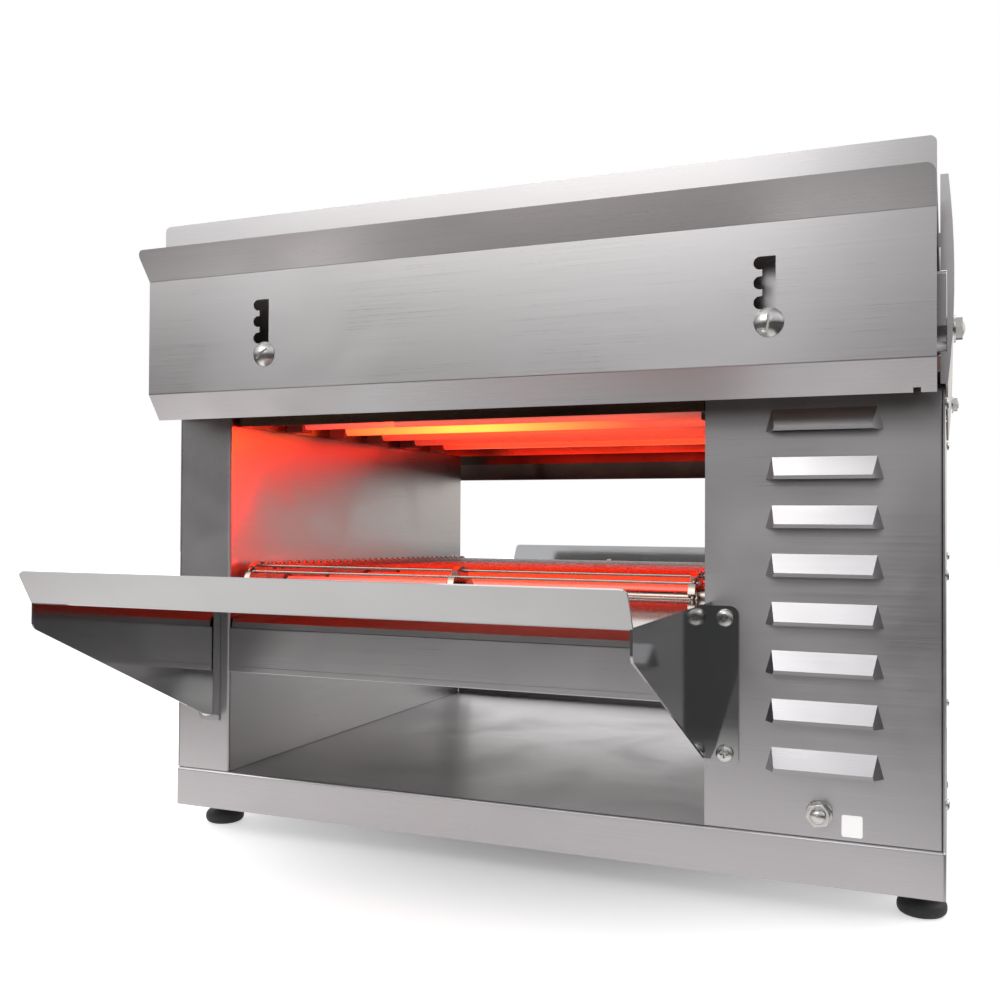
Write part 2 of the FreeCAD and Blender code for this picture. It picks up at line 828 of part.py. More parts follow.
def belt_rod_places():
    # Both runs, except over the shafts, where the turning teeth pass.
    places = []
    lean = (math.sin(belt_tilt), math.cos(belt_tilt))
    forward = (math.cos(belt_tilt), -math.sin(belt_tilt))
    for side in (-1, 1):
        for i in range(links_per_rod, belt_links, links_per_rod):
            run = i * belt_pitch
            places.append((-shaft_y + forward[0] * run + side * lean[0] * pitch_radius,
                           drive_height + forward[1] * run + side * lean[1] * pitch_radius))
    return places


def conveyor_belt():
    # A flat link band along each edge, and the cross rods between them.
    right = sprocket_outer + band_side_gap
    left = 2 * tunnel_middle - right
    bands = []
    for x in (left - band_thickness, right):
        outer = Part.Face(racetrack(pitch_radius + band_height / 2, x))
        inner = Part.Face(racetrack(pitch_radius - band_height / 2, x))
        bands.append(outer.cut(inner).extrude(Vector(band_thickness, 0, 0)))
    rods = [rod("x", y, z, left, right, belt_rod_radius) for y, z in belt_rod_places()]
    return bands[0].fuse(bands[1:] + rods)


def sprocket(start, end, y, z):
    disc = rod("x", y, z, start, end, sprocket_tip_radius)
    root = belt_rod_radius + sprocket_root_play
    for i in range(sprocket_teeth):
        angle = 2 * math.pi * i / sprocket_teeth - belt_tilt
        along = (math.cos(angle), math.sin(angle))
        across = (-along[1], along[0])
        gap = rod("x", y + along[0] * pitch_radius, z + along[1] * pitch_radius, start - 1, end + 1, root)
        wedge = []
        for reach, width in ((pitch_radius, -root), (sprocket_tip_radius + 1, -3 * root),
                             (sprocket_tip_radius + 1, 3 * root), (pitch_radius, root)):
            wedge.append((y + along[0] * reach + across[0] * width,
                          z + along[1] * reach + across[1] * width))
        disc = disc.cut(gap.fuse(prism(wedge, "x", start - 1, end + 1)))
    return disc.cut(rod("x", y, z, start - 1, end + 1, shaft_radius + fit_gap))


def sprockets(y, z):
    right = sprocket(sprocket_inner, sprocket_outer, y, z)
    hub_end = tunnel_right - bearing_stand - seat_gap
    right = right.fuse(tube("x", y, z, sprocket_outer, hub_end, hub_radius, shaft_radius + fit_gap))
    left = mirror_x(right)
    left.translate(Vector(2 * tunnel_middle, 0, 0))
    start = tunnel_middle - sprocket_thickness / 2
    middle = sprocket(start, start + sprocket_thickness, y, z)
    hub_start = start - sprocket_hub_overhang
    hub_end = start + sprocket_thickness + sprocket_hub_overhang
    middle = middle.fuse(tube("x", y, z, hub_start, hub_end, hub_radius, shaft_radius + fit_gap))
    return Part.makeCompound([left, middle, right])


def shaft(y, z, right_end):
    left_end = tunnel_left - sheet - bearing_length - shaft_overhang
    bar = rod("x", y, z, left_end, right_end, shaft_radius)
    return bar.makeChamfer(shaft_chamfer, [edge for edge in bar.Edges if edge.Closed])


def shaft_bearings():
    pieces = []
    for y, z in ((-shaft_y, drive_height), (shaft_y, idler_height)):
        start = tunnel_right - bearing_stand
        bush = tube("x", y, z, start, start + bearing_length, bearing_radius, shaft_radius + fit_gap)
        seat = tunnel_right + sheet
        bush = bush.fuse(tube("x", y, z, seat, seat + bearing_flange, bearing_flange_radius,
                              shaft_radius + fit_gap))
        left = mirror_x(bush)
        left.translate(Vector(2 * tunnel_middle, 0, 0))
        pieces += [bush, left]
    return Part.makeCompound(pieces)


def gear_motor():
    x_start = tunnel_right + sheet + gearbox_pad
    x_end = x_start + gearbox_size_x
    y_start = -shaft_y - gearbox_front_margin
    z_start = drive_height - gearbox_below_shaft
    y_end = y_start + gearbox_size_y
    z_end = z_start + gearbox_size_z
    case = block((x_start, x_end), (y_start, y_end), (z_start, z_end))
    case = case.makeFillet(gearbox_edge_radius,
                           [e for e in case.Edges if e.BoundBox.XLength > gearbox_size_x - 1])
    inset = gearbox_pad_radius
    for y in (y_start + inset, y_end - inset):
        for z in (z_start + inset, z_end - inset):
            case = case.fuse(rod("x", y, z, tunnel_right + sheet, x_start, gearbox_pad_radius))
    motor_y = y_end - motor_radius
    motor_z = (z_start + z_end) / 2
    case = case.fuse(rod("x", motor_y, motor_z, x_end, x_end + motor_length, motor_radius))
    bore = rod("x", -shaft_y, drive_height, x_start - 1, x_end - gearbox_end_wall, shaft_radius + fit_gap)
    seat = rod("x", -shaft_y, drive_height, x_start - 1, tunnel_right + bearing_length, bearing_radius + 1)
    return case.cut(bore).cut(seat).removeSplitter()


# Heaters

def upper_tube(y):
    left, right = reflector_inside()
    start = left + holder_size - holder_bore + seat_gap
    end = right - holder_size + holder_bore - seat_gap
    return rod("x", y, upper_tube_height, start, end, tube_radius)


def reflector_inside():
    return (tunnel_left + reflector_side_gap + reflector_sheet,
            tunnel_right - reflector_side_gap - reflector_sheet)


def upper_tube_holders():
    left, right = reflector_inside()
    low = reflector_bottom + holder_above_edge
    pieces = []
    for y in tube_places:
        span = (y - holder_size / 2, y + holder_size / 2)
        for x0, x1, bore_start in ((left, left + holder_size, left + holder_size - holder_bore),
                                   (right - holder_size, right, right - holder_size - 1)):
            body = block((x0, x1), span, (low, low + holder_height))
            bore = rod("x", y, upper_tube_height, bore_start, bore_start + holder_bore + 1,
                       tube_radius + tube_play)
            pieces.append(body.cut(bore))
    return Part.makeCompound(pieces)


def lower_tubes():
    start = tunnel_left - sheet - ceramic_length + lower_tube_end_gap
    end = tunnel_right + sheet + ceramic_length - lower_tube_end_gap
    pieces = []
    for y in tube_places:
        pieces.append(rod("x", y, lower_tube_height(y), start, end, tube_radius))
    return Part.makeCompound(pieces)


def lower_tube_holders():
    pieces = []
    for y in tube_places:
        z = lower_tube_height(y)
        start = tunnel_right - ceramic_proud
        end = tunnel_right + sheet + ceramic_length
        body = rod("x", y, z, start, end, ceramic_radius)
        seat = tunnel_right + sheet
        body = body.fuse(rod("x", y, z, seat, seat + ceramic_collar, ceramic_collar_radius))
        body = body.cut(rod("x", y, z, start - 1, end - ceramic_end_wall, tube_radius + tube_play))
        left = mirror_x(body)
        left.translate(Vector(2 * tunnel_middle, 0, 0))
        pieces += [body, left]
    return Part.makeCompound(pieces)


# Hood

def upper_reflector():
    x_span = (tunnel_left + reflector_side_gap, tunnel_right - reflector_side_gap)
    y = reflector_y
    pan = block(x_span, (-y, y), (reflector_bottom, reflector_top))
    inner_x = (x_span[0] + reflector_sheet, x_span[1] - reflector_sheet)
    inner_y = (reflector_sheet - y, y - reflector_sheet)
    flange_z = pier_top + sheet
    ring = block((x_span[0] - reflector_flange, x_span[1] + reflector_flange),
                 (-y - reflector_flange, y + reflector_flange), (flange_z, flange_z + reflector_sheet))
    pan = pan.fuse(ring)
    return pan.cut(block(inner_x, inner_y,
                         (reflector_bottom - 1, reflector_top - reflector_sheet))).removeSplitter()


def upper_housing():
    outer = block((-hood_x, hood_x), (-hood_y, hood_y), (pier_top, hood_top))
    outer = filleted(outer, bend + sheet, is_vertical)
    hollow = block((sheet - hood_x, hood_x - sheet), (sheet - hood_y, hood_y - sheet),
                   (pier_top + sheet, hood_top - sheet))
    housing = outer.cut(filleted(hollow, bend, is_vertical))
    gap = reflector_side_gap - seat_gap
    housing = housing.cut(block((tunnel_left + gap, tunnel_right - gap),
                                (-reflector_y - seat_gap, reflector_y + seat_gap),
                                (pier_top - 1, pier_top + 2 * sheet)))
    for x in shield_screws.values():
        housing = housing.cut(rod("y", x, shield_screw_height, -hood_y - 1, hood_y + 1,
                                  screw_shank_radius + fit_gap))
    for y in (lug_y, -lug_y):
        housing = housing.cut(rod("x", y, lug_bolt_height, -hood_x - 1, hood_x + 1,
                                  cap_bolt_radius + fit_gap))
    return housing


def top_tray():
    x, y = tray_x, tray_y
    top = hood_top + sheet
    flat = block((-x, x), (-y, y), (hood_top, top))
    rise_top = top + tray_front_rise - sheet
    face = [(-x, hood_top), (x, hood_top), (x, rise_top), (-x, rise_top)]
    radii = [0, 0, tray_corner_radius, tray_corner_radius]
    front = prism(face, "y", -y, sheet - y, radii)
    cheek = block((x - sheet, x), (-y, y), (hood_top - tray_cheek_drop, top))
    return flat.fuse([front, mirror_y(front), cheek, mirror_x(cheek)]).removeSplitter()


def side_panel_x(z):
    # The outer face of the bowed side sheet, an arc through three points.
    a, b, c = ((side_panel_low_x, pier_top), (side_panel_mid_x, side_panel_middle),
               (side_panel_top_x, side_panel_top))
    circle = Part.Arc(Vector(a[0], a[1], 0), Vector(b[0], b[1], 0), Vector(c[0], c[1], 0)).toShape().Curve
    return circle.Center.x + math.sqrt(circle.Radius ** 2 - (z - circle.Center.y) ** 2)


def hood_side_right():
    # A bowed side sheet with its front and rear edges turned in beside the tray.
    y = hood_y - side_panel_front_gap
    outer = Part.Arc(Vector(side_panel_low_x, -y, pier_top),
                     Vector(side_panel_mid_x, -y, side_panel_middle),
                     Vector(side_panel_top_x, -y, side_panel_top)).toShape()
    inner = Part.Arc(Vector(side_panel_top_x - sheet, -y, side_panel_top),
                     Vector(side_panel_mid_x - sheet, -y, side_panel_middle),
                     Vector(side_panel_low_x - sheet, -y, pier_top)).toShape()
    ends = [Part.LineSegment(outer.Vertexes[-1].Point, inner.Vertexes[0].Point).toShape(),
            Part.LineSegment(inner.Vertexes[-1].Point, outer.Vertexes[0].Point).toShape()]
    section = Part.Face(Part.Wire([outer, ends[0], inner, ends[1]]))
    panel = section.extrude(Vector(0, 2 * y, 0))
    flange_x = hood_x + side_flange_reach
    flange = block((flange_x, side_panel_mid_x), (-y, sheet - y), (pier_top, side_panel_top))
    flange = flange.cut(section.extrude(Vector(0, sheet, 0)))
    flange = min(flange.Solids, key=lambda solid: solid.CenterOfMass.x)
    tab_bottom = pier_top + side_tab_rise
    flange = flange.fuse(block((hood_x + side_tab_reach, flange_x), (-y, sheet - y),
                               (tab_bottom, tab_bottom + side_tab_height)))
    half = lug_width / 2 + seat_gap
    flange = flange.cut(block((hood_x, lug_x + seat_gap), (-lug_y - half, half - lug_y),
                              (lug_bolt_height - half, lug_top + seat_gap)))
    panel = panel.fuse([flange, mirror_y(flange)])
    for y_bolt in (lug_y, -lug_y):
        panel = panel.cut(rod("x", y_bolt, lug_bolt_height, side_panel_low_x - 5, side_panel_mid_x + 2,
                              cap_bolt_radius + fit_gap))
    return panel.removeSplitter()


def hood_lug():
    # A folded spacer with a round lower end, open towards the hood.
    y = -lug_y
    half = lug_width / 2
    low = lug_bolt_height - half
    points = [(y - half, lug_top), (y - half, low), (y + half, low), (y + half, lug_top)]
    corner = lug_bend + lug_thickness
    outer = prism(points, "x", hood_x, lug_x, [corner, half - 0.01, half - 0.01, corner])
    half -= lug_thickness
    low += lug_thickness
    points = [(y - half, lug_top - lug_thickness), (y - half, low), (y + half, low),
              (y + half, lug_top - lug_thickness)]
    inner = prism(points, "x", hood_x - 1, lug_x - lug_thickness,
                  [lug_bend, half - 0.01, half - 0.01, lug_bend])
    lug = outer.cut(inner)
    boss_radius = cap_bolt_radius + lug_boss_wall
    boss_end = side_panel_x(lug_bolt_height - boss_radius) - sheet - seat_gap
    spacer = rod("x", y, lug_bolt_height, hood_x, boss_end, boss_radius)
    lug = lug.fuse(spacer)
    return lug.cut(rod("x", y, lug_bolt_height, hood_x - 1, side_panel_mid_x, cap_bolt_radius + fit_gap))


def four_corners(piece):
    other = mirror_x(piece)
    return Part.makeCompound([piece, mirror_y(piece), other, mirror_y(other)])


def hood_cap_nut():
    y = -lug_y
    seat = side_panel_x(lug_bolt_height + cap_washer_radius)
    bolt = rod("x", y, lug_bolt_height, hood_x - cap_bolt_inside, seat + cap_washer + cap_nut_height,
               cap_bolt_radius)
    washer = tube("x", y, lug_bolt_height, seat, seat + cap_washer, cap_washer_radius,
                  cap_bolt_radius + fit_gap)
    nut_start = seat + cap_washer
    nut = hexagon("x", y, lug_bolt_height, nut_start, nut_start + cap_nut_height, cap_nut_across_flats)
    nut = nut.fuse(dome("x", y, lug_bolt_height, nut_start + cap_nut_height, cap_dome_radius,
                        cap_dome_height, 1))
    inside = hood_x - sheet
    head = hexagon("x", y, lug_bolt_height, inside - cap_bolt_head, inside, cap_nut_across_flats)
    return bolt.fuse([nut, head]), washer


def hood_cap_nuts():
    bolt, washer = hood_cap_nut()
    return Part.makeCompound(four_corners(bolt).Solids + four_corners(washer).Solids)


# Shields and their screws

def front_shield():
    profile = [(shield_lip_back - shield_face, shield_lip_bottom), (-shield_face, shield_low_bend),
               (-shield_face, shield_top_bend), (-shield_face - shield_flare_out, shield_top)]
    x = tray_x
    shield = folded_sheet(profile, -shield_sheet, 2 * bend, "x", -x, x)
    corner = prism([(-x, shield_top_bend), (x, shield_top_bend), (x, shield_top), (-x, shield_top)], "y",
                   -shield_face - 2 * shield_flare_out, 0, [0, 0, shield_corner_radius, shield_corner_radius])
    below = block((-x - 1, x + 1), (-shield_face - 2 * shield_flare_out, 0),
                  (shield_lip_bottom - 5, shield_top_bend))
    shield = shield.common(corner.fuse(below))
    span = (-shield_face - 1, 2 * shield_sheet - shield_face)
    for x_screw in shield_screws.values():
        shield = shield.cut(stepped_slot(x_screw, span))
    notch_right = x - lip_notch_from_end
    shield = shield.cut(block((notch_right - lip_notch_width, notch_right), (-shield_face, 0),
                              (shield_lip_bottom - 5, shield_lip_bottom + lip_notch_depth)))
    return shield.removeSplitter()


def stepped_slot(x, span):
    half = slot_width / 2
    bottom = shield_screw_height - half
    points = [(x - half, bottom), (x + half, bottom), (x + half, slot_top), (x - half, slot_top)]
    slot = prism(points, "y", span[0], span[1], [half - 0.01, half - 0.01, slot_corner, slot_corner])
    for i in range(notch_count):
        z = shield_screw_height + i * notch_pitch
        slot = slot.fuse(rod("y", x - notch_depth, z, span[0], span[1], half))
        slot = slot.fuse(block((x - notch_depth, x), span, (z - half, z + half)))
    return slot


def shield_spacers():
    pieces = []
    start = -shield_face + shield_sheet + spacer_gap
    for x in shield_screws.values():
        piece = tube("y", x, shield_screw_height, start, -hood_y, spacer_radius,
                     screw_shank_radius + fit_gap)
        pieces += [piece, mirror_y(piece)]
    return Part.makeCompound(pieces)


def shield_screw(x, slot_angle):
    seat = -shield_face - spacer_gap
    head = dome("y", x, shield_screw_height, seat, screw_head_radius, screw_head_height, -1)
    shank = rod("y", x, shield_screw_height, seat - 1, shield_screw_length - hood_y, screw_shank_radius)
    screw = head.fuse(shank)
    top = seat - screw_head_height
    cut = block((-2 * screw_head_radius, 2 * screw_head_radius), (top - 1, top + screw_slot_depth),
                (-screw_slot_width / 2, screw_slot_width / 2))
    cut.rotate(Vector(0, 0, 0), Vector(0, 1, 0), -slot_angle)
    cut.translate(Vector(x, 0, shield_screw_height))
    return screw.cut(cut)


# Shelves

def front_shelf():
    left, right = shelf_left, shelf_right
    back = -y_face - seat_gap
    front = shelf_sheet - y_face - shelf_reach
    top = shelf_height
    plate = block((left, right), (front, back), (top - shelf_sheet, top))
    lip_length = math.hypot(shelf_lip_out, shelf_lip_rise)
    lip_points = [(left, 0), (right, 0), (right, lip_length), (left, lip_length)]
    lip = prism(lip_points, "y", 0, shelf_sheet, [0, 0, shelf_lip_corner, shelf_lip_corner])
    lip.rotate(Vector(0, 0, 0), Vector(1, 0, 0), math.degrees(math.atan2(shelf_lip_out, shelf_lip_rise)))
    lip.translate(Vector(0, front - shelf_bend_out, top - shelf_sheet / 2))
    bend_back = front + shelf_bend_reach
    bend_bar = prism([(front - shelf_bend_out, top - shelf_sheet / 2), (front, top - shelf_sheet),
                      (bend_back, top - shelf_sheet), (bend_back, top), (front, top)], "x", left, right)
    low_front = top - cheek_front_height
    cheek_front = front - cheek_proud
    cheek_points = [(cheek_front, top - seat_gap), (cheek_front, low_front),
                    (back - cheek_low_reach, cheek_low + cheek_low_rise), (back, cheek_low), (back, top)]
    cheek_radii = [0, cheek_corner, 4 * cheek_corner, 0, 0]
    pieces = [lip, bend_bar]
    for x in (left, right - shelf_sheet):
        pieces.append(prism(cheek_points, "x", x, x + shelf_sheet, cheek_radii))
    for x0, x1 in ((right - shelf_sheet, right + shelf_flange_width),
                   (left - shelf_flange_width, left + shelf_sheet)):
        points = [(x0, shelf_flange_bottom), (x1, shelf_flange_bottom), (x1, shelf_flange_top),
                  (x0, shelf_flange_top)]
        radius = shelf_flange_corner
        radii = [0, radius, radius, 0] if x1 > right else [radius, 0, 0, radius]
        flange = prism(points, "y", back - shelf_sheet, back, radii)
        x_screw = right + shelf_screw_from_cheek if x1 > right else left - shelf_screw_from_cheek
        for z in shelf_screw_heights:
            flange = flange.cut(rod("y", x_screw, z, back - 3, back + 1, shelf_screw_radius + fit_gap))
        pieces.append(flange)
    return plate.fuse(pieces).removeSplitter()


def shelf_screws():
    pieces = []
    seat = -y_face - seat_gap - shelf_sheet
    for x in (shelf_right + shelf_screw_from_cheek, shelf_left - shelf_screw_from_cheek):
        for z in shelf_screw_heights:
            screw = pan_head("y", x, z, seat, shelf_screw_head, shelf_screw_head_height, -1)
            screw = screw.fuse(rod("y", x, z, seat - 1, seat + shelf_screw_length, shelf_screw_radius))
            pieces += [screw, mirror_y(screw)]
    return Part.makeCompound(pieces)


def bonding_terminal():
    x = panel_left + bonding_from_inner_edge
    z = bonding_height
    stud = rod("y", x, z, -y_face - bonding_nut_height / 2, bonding_length - y_face, bonding_radius)
    seat = -y_face
    washer = rod("y", x, z, seat - bonding_washer, seat, bonding_washer_radius)
    nut_front = seat - bonding_washer - bonding_nut_height
    nut = hexagon("y", x, z, nut_front, seat - bonding_washer, bonding_across_flats)
    cap = dome("y", x, z, nut_front, bonding_dome_radius, bonding_dome_height, -1)
    inner_nut = hexagon("y", x, z, sheet - y_face, sheet + bonding_nut_height - y_face,
                        bonding_across_flats)
    return stud.fuse([washer, nut, cap, inner_nut]).removeSplitter()


# Controls

def control_bodies():
    pieces = []
    inner = y_face - sheet
    for z in knob_heights:
        body = rod("y", control_x, z, inner - control_body_depth, inner, control_body_radius)
        body = body.fuse(rod("y", control_x, z, inner, y_face + control_bush_proud, control_bush_radius))
        bore = rod("y", control_x, z, inner - control_shaft_bore, y_face + 2, knob_shaft_radius + fit_gap)
        pieces.append(body.cut(bore))
    half_x = switch_width / 2
    half_z = switch_tall / 2
    bezel = block((control_x - half_x - switch_bezel_width, control_x + half_x + switch_bezel_width),
                  (y_face, y_face + switch_bezel),
                  (switch_height - half_z - switch_bezel_width, switch_height + half_z + switch_bezel_width))
    body = block((control_x - half_x + fit_gap, control_x + half_x - fit_gap),
                 (y_face - switch_body_depth, y_face),
                 (switch_height - half_z + fit_gap, switch_height + half_z - fit_gap))
    well_x = half_x - switch_wall
    well_z = half_z - switch_wall
    well = block((control_x - well_x, control_x + well_x), (y_face - switch_body_depth + 2, y_face + 10),
                 (switch_height - well_z, switch_height + well_z))
    pivot = rod("x", rocker_pivot_y, switch_height, control_x - half_x, control_x + half_x,
                rocker_pin_radius + fit_gap)
    pieces.append(bezel.fuse(body).cut([well, pivot]))
    return Part.makeCompound(pieces)


def knob(z):
    start = y_face + control_bush_proud + knob_gap
    outward = Vector(0, 1, 0)
    base_radius = knob_grip_radius + knob_taper
    skirt = Part.makeCone(knob_skirt_radius, base_radius + knob_taper, knob_skirt,
                          Vector(control_x, start, z), outward)
    grip = Part.makeCone(base_radius, knob_grip_radius, knob_height - knob_skirt,
                         Vector(control_x, start + knob_skirt, z), outward)
    top = start + knob_height
    grip = filleted(grip, knob_edge_radius, lambda e: e.Closed and e.BoundBox.YMin > top - 0.1)
    pointer = block((control_x - knob_pointer_width / 2, control_x + knob_pointer_width / 2),
                    (start + knob_skirt, top - knob_pointer_below_top),
                    (z, z + knob_grip_radius + knob_pointer_overhang))
    stem = rod("y", control_x, z, y_face - sheet - knob_stem, start + 1, knob_shaft_radius)
    return skirt.fuse([grip, pointer, stem]).removeSplitter()


def rocker():
    # A cap whose lower part is round about its pivot, so it tips without touching its well.
    pivot_y = rocker_pivot_y
    half = switch_tall / 2 - switch_wall - rocker_play
    reach = math.sqrt(rocker_radius ** 2 - half ** 2)
    width = switch_width / 2 - switch_wall - rocker_play
    low_z = switch_height - half * rocker_end_share
    high_z = switch_height + half * rocker_end_share
    back = pivot_y - rocker_back
    shoulder = pivot_y + rocker_side
    points = [(back, switch_height - rocker_side), (shoulder, low_z), (pivot_y + reach, low_z),
              (pivot_y + reach - rocker_dip, switch_height), (pivot_y + reach, high_z), (shoulder, high_z),
              (back, switch_height + rocker_side)]
    cap = prism(points, "x", control_x - width, control_x + width)
    cap.rotate(Vector(control_x, pivot_y, switch_height), Vector(1, 0, 0), -rocker_tilt)
    pin_end = switch_width / 2 - switch_wall / 3
    return cap.fuse(rod("x", pivot_y, switch_height, control_x - pin_end, control_x + pin_end,
                        rocker_pin_radius))


def pilot_lamp():
    lamp = rod("y", control_x, lamp_height, y_face - lamp_depth, y_face + 1, lamp_radius)
    lamp = lamp.fuse(rod("y", control_x, lamp_height, y_face, y_face + lamp_bezel, lamp_bezel_radius))
    return lamp.fuse(dome("y", control_x, lamp_height, y_face + lamp_bezel, lamp_radius,
                          lamp_dome_height, 1))


def cable_gland():
    base = hexagon("y", control_x, gland_height, y_face, y_face + gland_hex_height, gland_across_flats)
    thread = rod("y", control_x, gland_height, y_face - gland_inside, y_face + 1, gland_radius)
    nut = Part.makeCone(gland_across_flats / 2 - gland_nut_edge, gland_radius,
                        gland_nut_height - gland_nut_end,
                        Vector(control_x, y_face + gland_hex_height, gland_height), Vector(0, 1, 0))
    inner = y_face - sheet
    lock = hexagon("y", control_x, gland_height, inner - gland_lock_height, inner, gland_across_flats)
    gland = base.fuse([thread, nut, lock])
    bore_end = y_face + gland_hex_height + gland_nut_height
    bore = rod("y", control_x, gland_height, inner - 2 * gland_inside, bore_end, gland_bore_radius)
    return gland.cut(bore).removeSplitter()


# Cooling fan

def fan_frame():
    x, y = fan_middle()
    half = fan_size / 2
    frame = block((x - half, x + half), (y - half, y + half), (pan_top, pan_top + fan_height))
    frame = filleted(frame, fan_corner_radius, is_vertical)
    frame = frame.cut(rod("z", x, y, pan_top - 1, pan_top + fan_height + 1, fan_bore_radius))
    for i in range(3):
        strut = block((x, x + fan_bore_radius + 1), (y - fan_strut / 2, y + fan_strut / 2),
                      (pan_top, pan_top + fan_strut_height))
        strut.rotate(Vector(x, y, 0), Vector(0, 0, 1), 120 * i)
        frame = frame.fuse(strut)
    frame = frame.fuse(rod("z", x, y, pan_top, pan_top + fan_seat_height, fan_hub_radius - 1))
    pin_top = pan_top + fan_height - fan_pin_below_top
    return frame.fuse(rod("z", x, y, pan_top, pin_top, fan_pin_radius)).removeSplitter()


def fan_rotor():
    x, y = fan_middle()
    low = pan_top + fan_seat_height + seat_gap
    high = pan_top + fan_height - fan_rotor_below_top
    rotor = rod("z", x, y, low, high, fan_hub_radius)
    for i in range(fan_blades):
        middle_z = (low + high) / 2
        reach = fan_rotor_radius - fan_hub_radius + 1
        blade = Part.makeBox(reach, fan_blade_thickness, fan_blade_height,
                             Vector(fan_hub_radius - 1, -fan_blade_thickness / 2, -fan_blade_height / 2))
        blade.rotate(Vector(0, 0, 0), Vector(1, 0, 0), fan_blade_pitch)
        blade.rotate(Vector(0, 0, 0), Vector(0, 0, 1), 360.0 / fan_blades * i)
        blade.translate(Vector(x, y, middle_z))
        rotor = rotor.fuse(blade)
    bore_top = pan_top + fan_height - fan_pin_below_top + fan_pin_play
    return rotor.cut(rod("z", x, y, low - 1, bore_top, fan_pin_radius + fit_gap)).removeSplitter()


def all_parts():
    parts = {"base_pan": base_pan(), "foot_bolts": foot_bolts()}
    for name, (a, b) in foot_places().items():
        parts["foot_" + name] = foot(a, b)
    parts["left_inner_wall"] = left_inner_wall()
    parts["right_inner_wall"] = right_inner_wall()
    parts["right_front_panel"] = right_front_panel()
    parts["right_rear_panel"] = right_rear_panel()
    parts["right_side_cover"] = right_side_cover()
    parts["left_side_cover"] = mirror_x(right_side_cover())
    parts["side_screws"] = side_screws()
    parts["front_apron"] = front_apron()
    parts["rear_apron"] = mirror_y(front_apron())
    parts["tray_rails"] = tray_rails()
    parts["crumb_tray"] = crumb_tray()
    parts["conveyor_belt"] = conveyor_belt()
    gearbox_end = tunnel_right + sheet + gearbox_pad + gearbox_size_x
    parts["drive_shaft"] = shaft(-shaft_y, drive_height, gearbox_end - shaft_short_of_gearbox)
    parts["drive_sprockets"] = sprockets(-shaft_y, drive_height)
    idler_end = tunnel_right + sheet + bearing_length + shaft_overhang
    parts["idler_shaft"] = shaft(shaft_y, idler_height, idler_end)
    parts["idler_sprockets"] = sprockets(shaft_y, idler_height)
    parts["shaft_bearings"] = shaft_bearings()
    parts["gear_motor"] = gear_motor()
    parts["upper_reflector"] = upper_reflector()
    parts["upper_housing"] = upper_housing()
    for i, y in enumerate(tube_places):
        parts["upper_tube_" + str(i + 1)] = upper_tube(y)
    parts["upper_tube_holders"] = upper_tube_holders()
    parts["lower_tubes"] = lower_tubes()
    parts["lower_tube_holders"] = lower_tube_holders()
    parts["top_tray"] = top_tray()
    parts["hood_side_right"] = hood_side_right()
    parts["hood_side_left"] = mirror_x(hood_side_right())
    parts["hood_lugs"] = four_corners(hood_lug())
    parts["hood_cap_nuts"] = hood_cap_nuts()
    parts["front_shield"] = front_shield()
    rear = mirror_y(front_shield())
    rear.translate(Vector(0, 0, -rear_shield_drop))
    parts["rear_shield"] = rear
    parts["shield_spacers"] = shield_spacers()
    for side, angle in (("left", screw_slot_angle_left), ("right", screw_slot_angle_right)):
        screw = shield_screw(shield_screws[side], angle)
        parts["shield_screw_front_" + side] = screw
        parts["shield_screw_rear_" + side] = mirror_y(screw)
    parts["front_shelf"] = front_shelf()
    parts["rear_shelf"] = mirror_y(front_shelf())
    parts["shelf_screws"] = shelf_screws()
    parts["bonding_terminal"] = bonding_terminal()
    parts["control_bodies"] = control_bodies()
    for name, z in zip(knob_names, knob_heights):
        parts["knob_" + name] = knob(z)
    parts["power_rocker"] = rocker()
    parts["pilot_lamp"] = pilot_lamp()
    parts["cable_gland"] = cable_gland()
    parts["fan_frame"] = fan_frame()
    parts["fan_rotor"] = fan_rotor()
    return parts


def main():
    os.makedirs("parts", exist_ok=True)
    for name, shape in all_parts().items():
        shape.exportStep("parts/" + name + ".step")
        box = shape.BoundBox
        print(name, len(shape.Solids), shape.isValid(), round(shape.Volume),
              [round(v, 1) for v in (box.XMin, box.XMax, box.YMin, box.YMax, box.ZMin, box.ZMax)])


main()
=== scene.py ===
import math
import bmesh
import bpy
from mathutils import Matrix, Vector


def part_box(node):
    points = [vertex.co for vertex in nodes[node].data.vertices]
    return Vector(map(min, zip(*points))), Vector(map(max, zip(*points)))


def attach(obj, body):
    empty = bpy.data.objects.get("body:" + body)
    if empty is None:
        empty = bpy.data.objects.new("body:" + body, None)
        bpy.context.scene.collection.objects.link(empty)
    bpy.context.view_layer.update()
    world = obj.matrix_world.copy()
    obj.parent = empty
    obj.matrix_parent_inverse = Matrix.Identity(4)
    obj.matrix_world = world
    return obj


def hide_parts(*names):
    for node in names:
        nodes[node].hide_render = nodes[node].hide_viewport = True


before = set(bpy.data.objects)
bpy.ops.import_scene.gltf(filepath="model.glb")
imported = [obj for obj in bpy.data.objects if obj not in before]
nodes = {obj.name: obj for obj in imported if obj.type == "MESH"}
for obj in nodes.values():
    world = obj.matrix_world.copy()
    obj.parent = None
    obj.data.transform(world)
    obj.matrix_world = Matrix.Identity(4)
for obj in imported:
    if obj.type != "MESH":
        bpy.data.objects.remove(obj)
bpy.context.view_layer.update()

scene = bpy.context.scene


# Camera, floor and light

cameraView = {"place": (0.30246, -0.97695, 0.26457), "turnLeft": 0.3903, "tiltUp": 0.01503, "roll": 0.00512,
              "lens": 39.08, "shiftX": -0.00271, "shiftY": 0.00329}


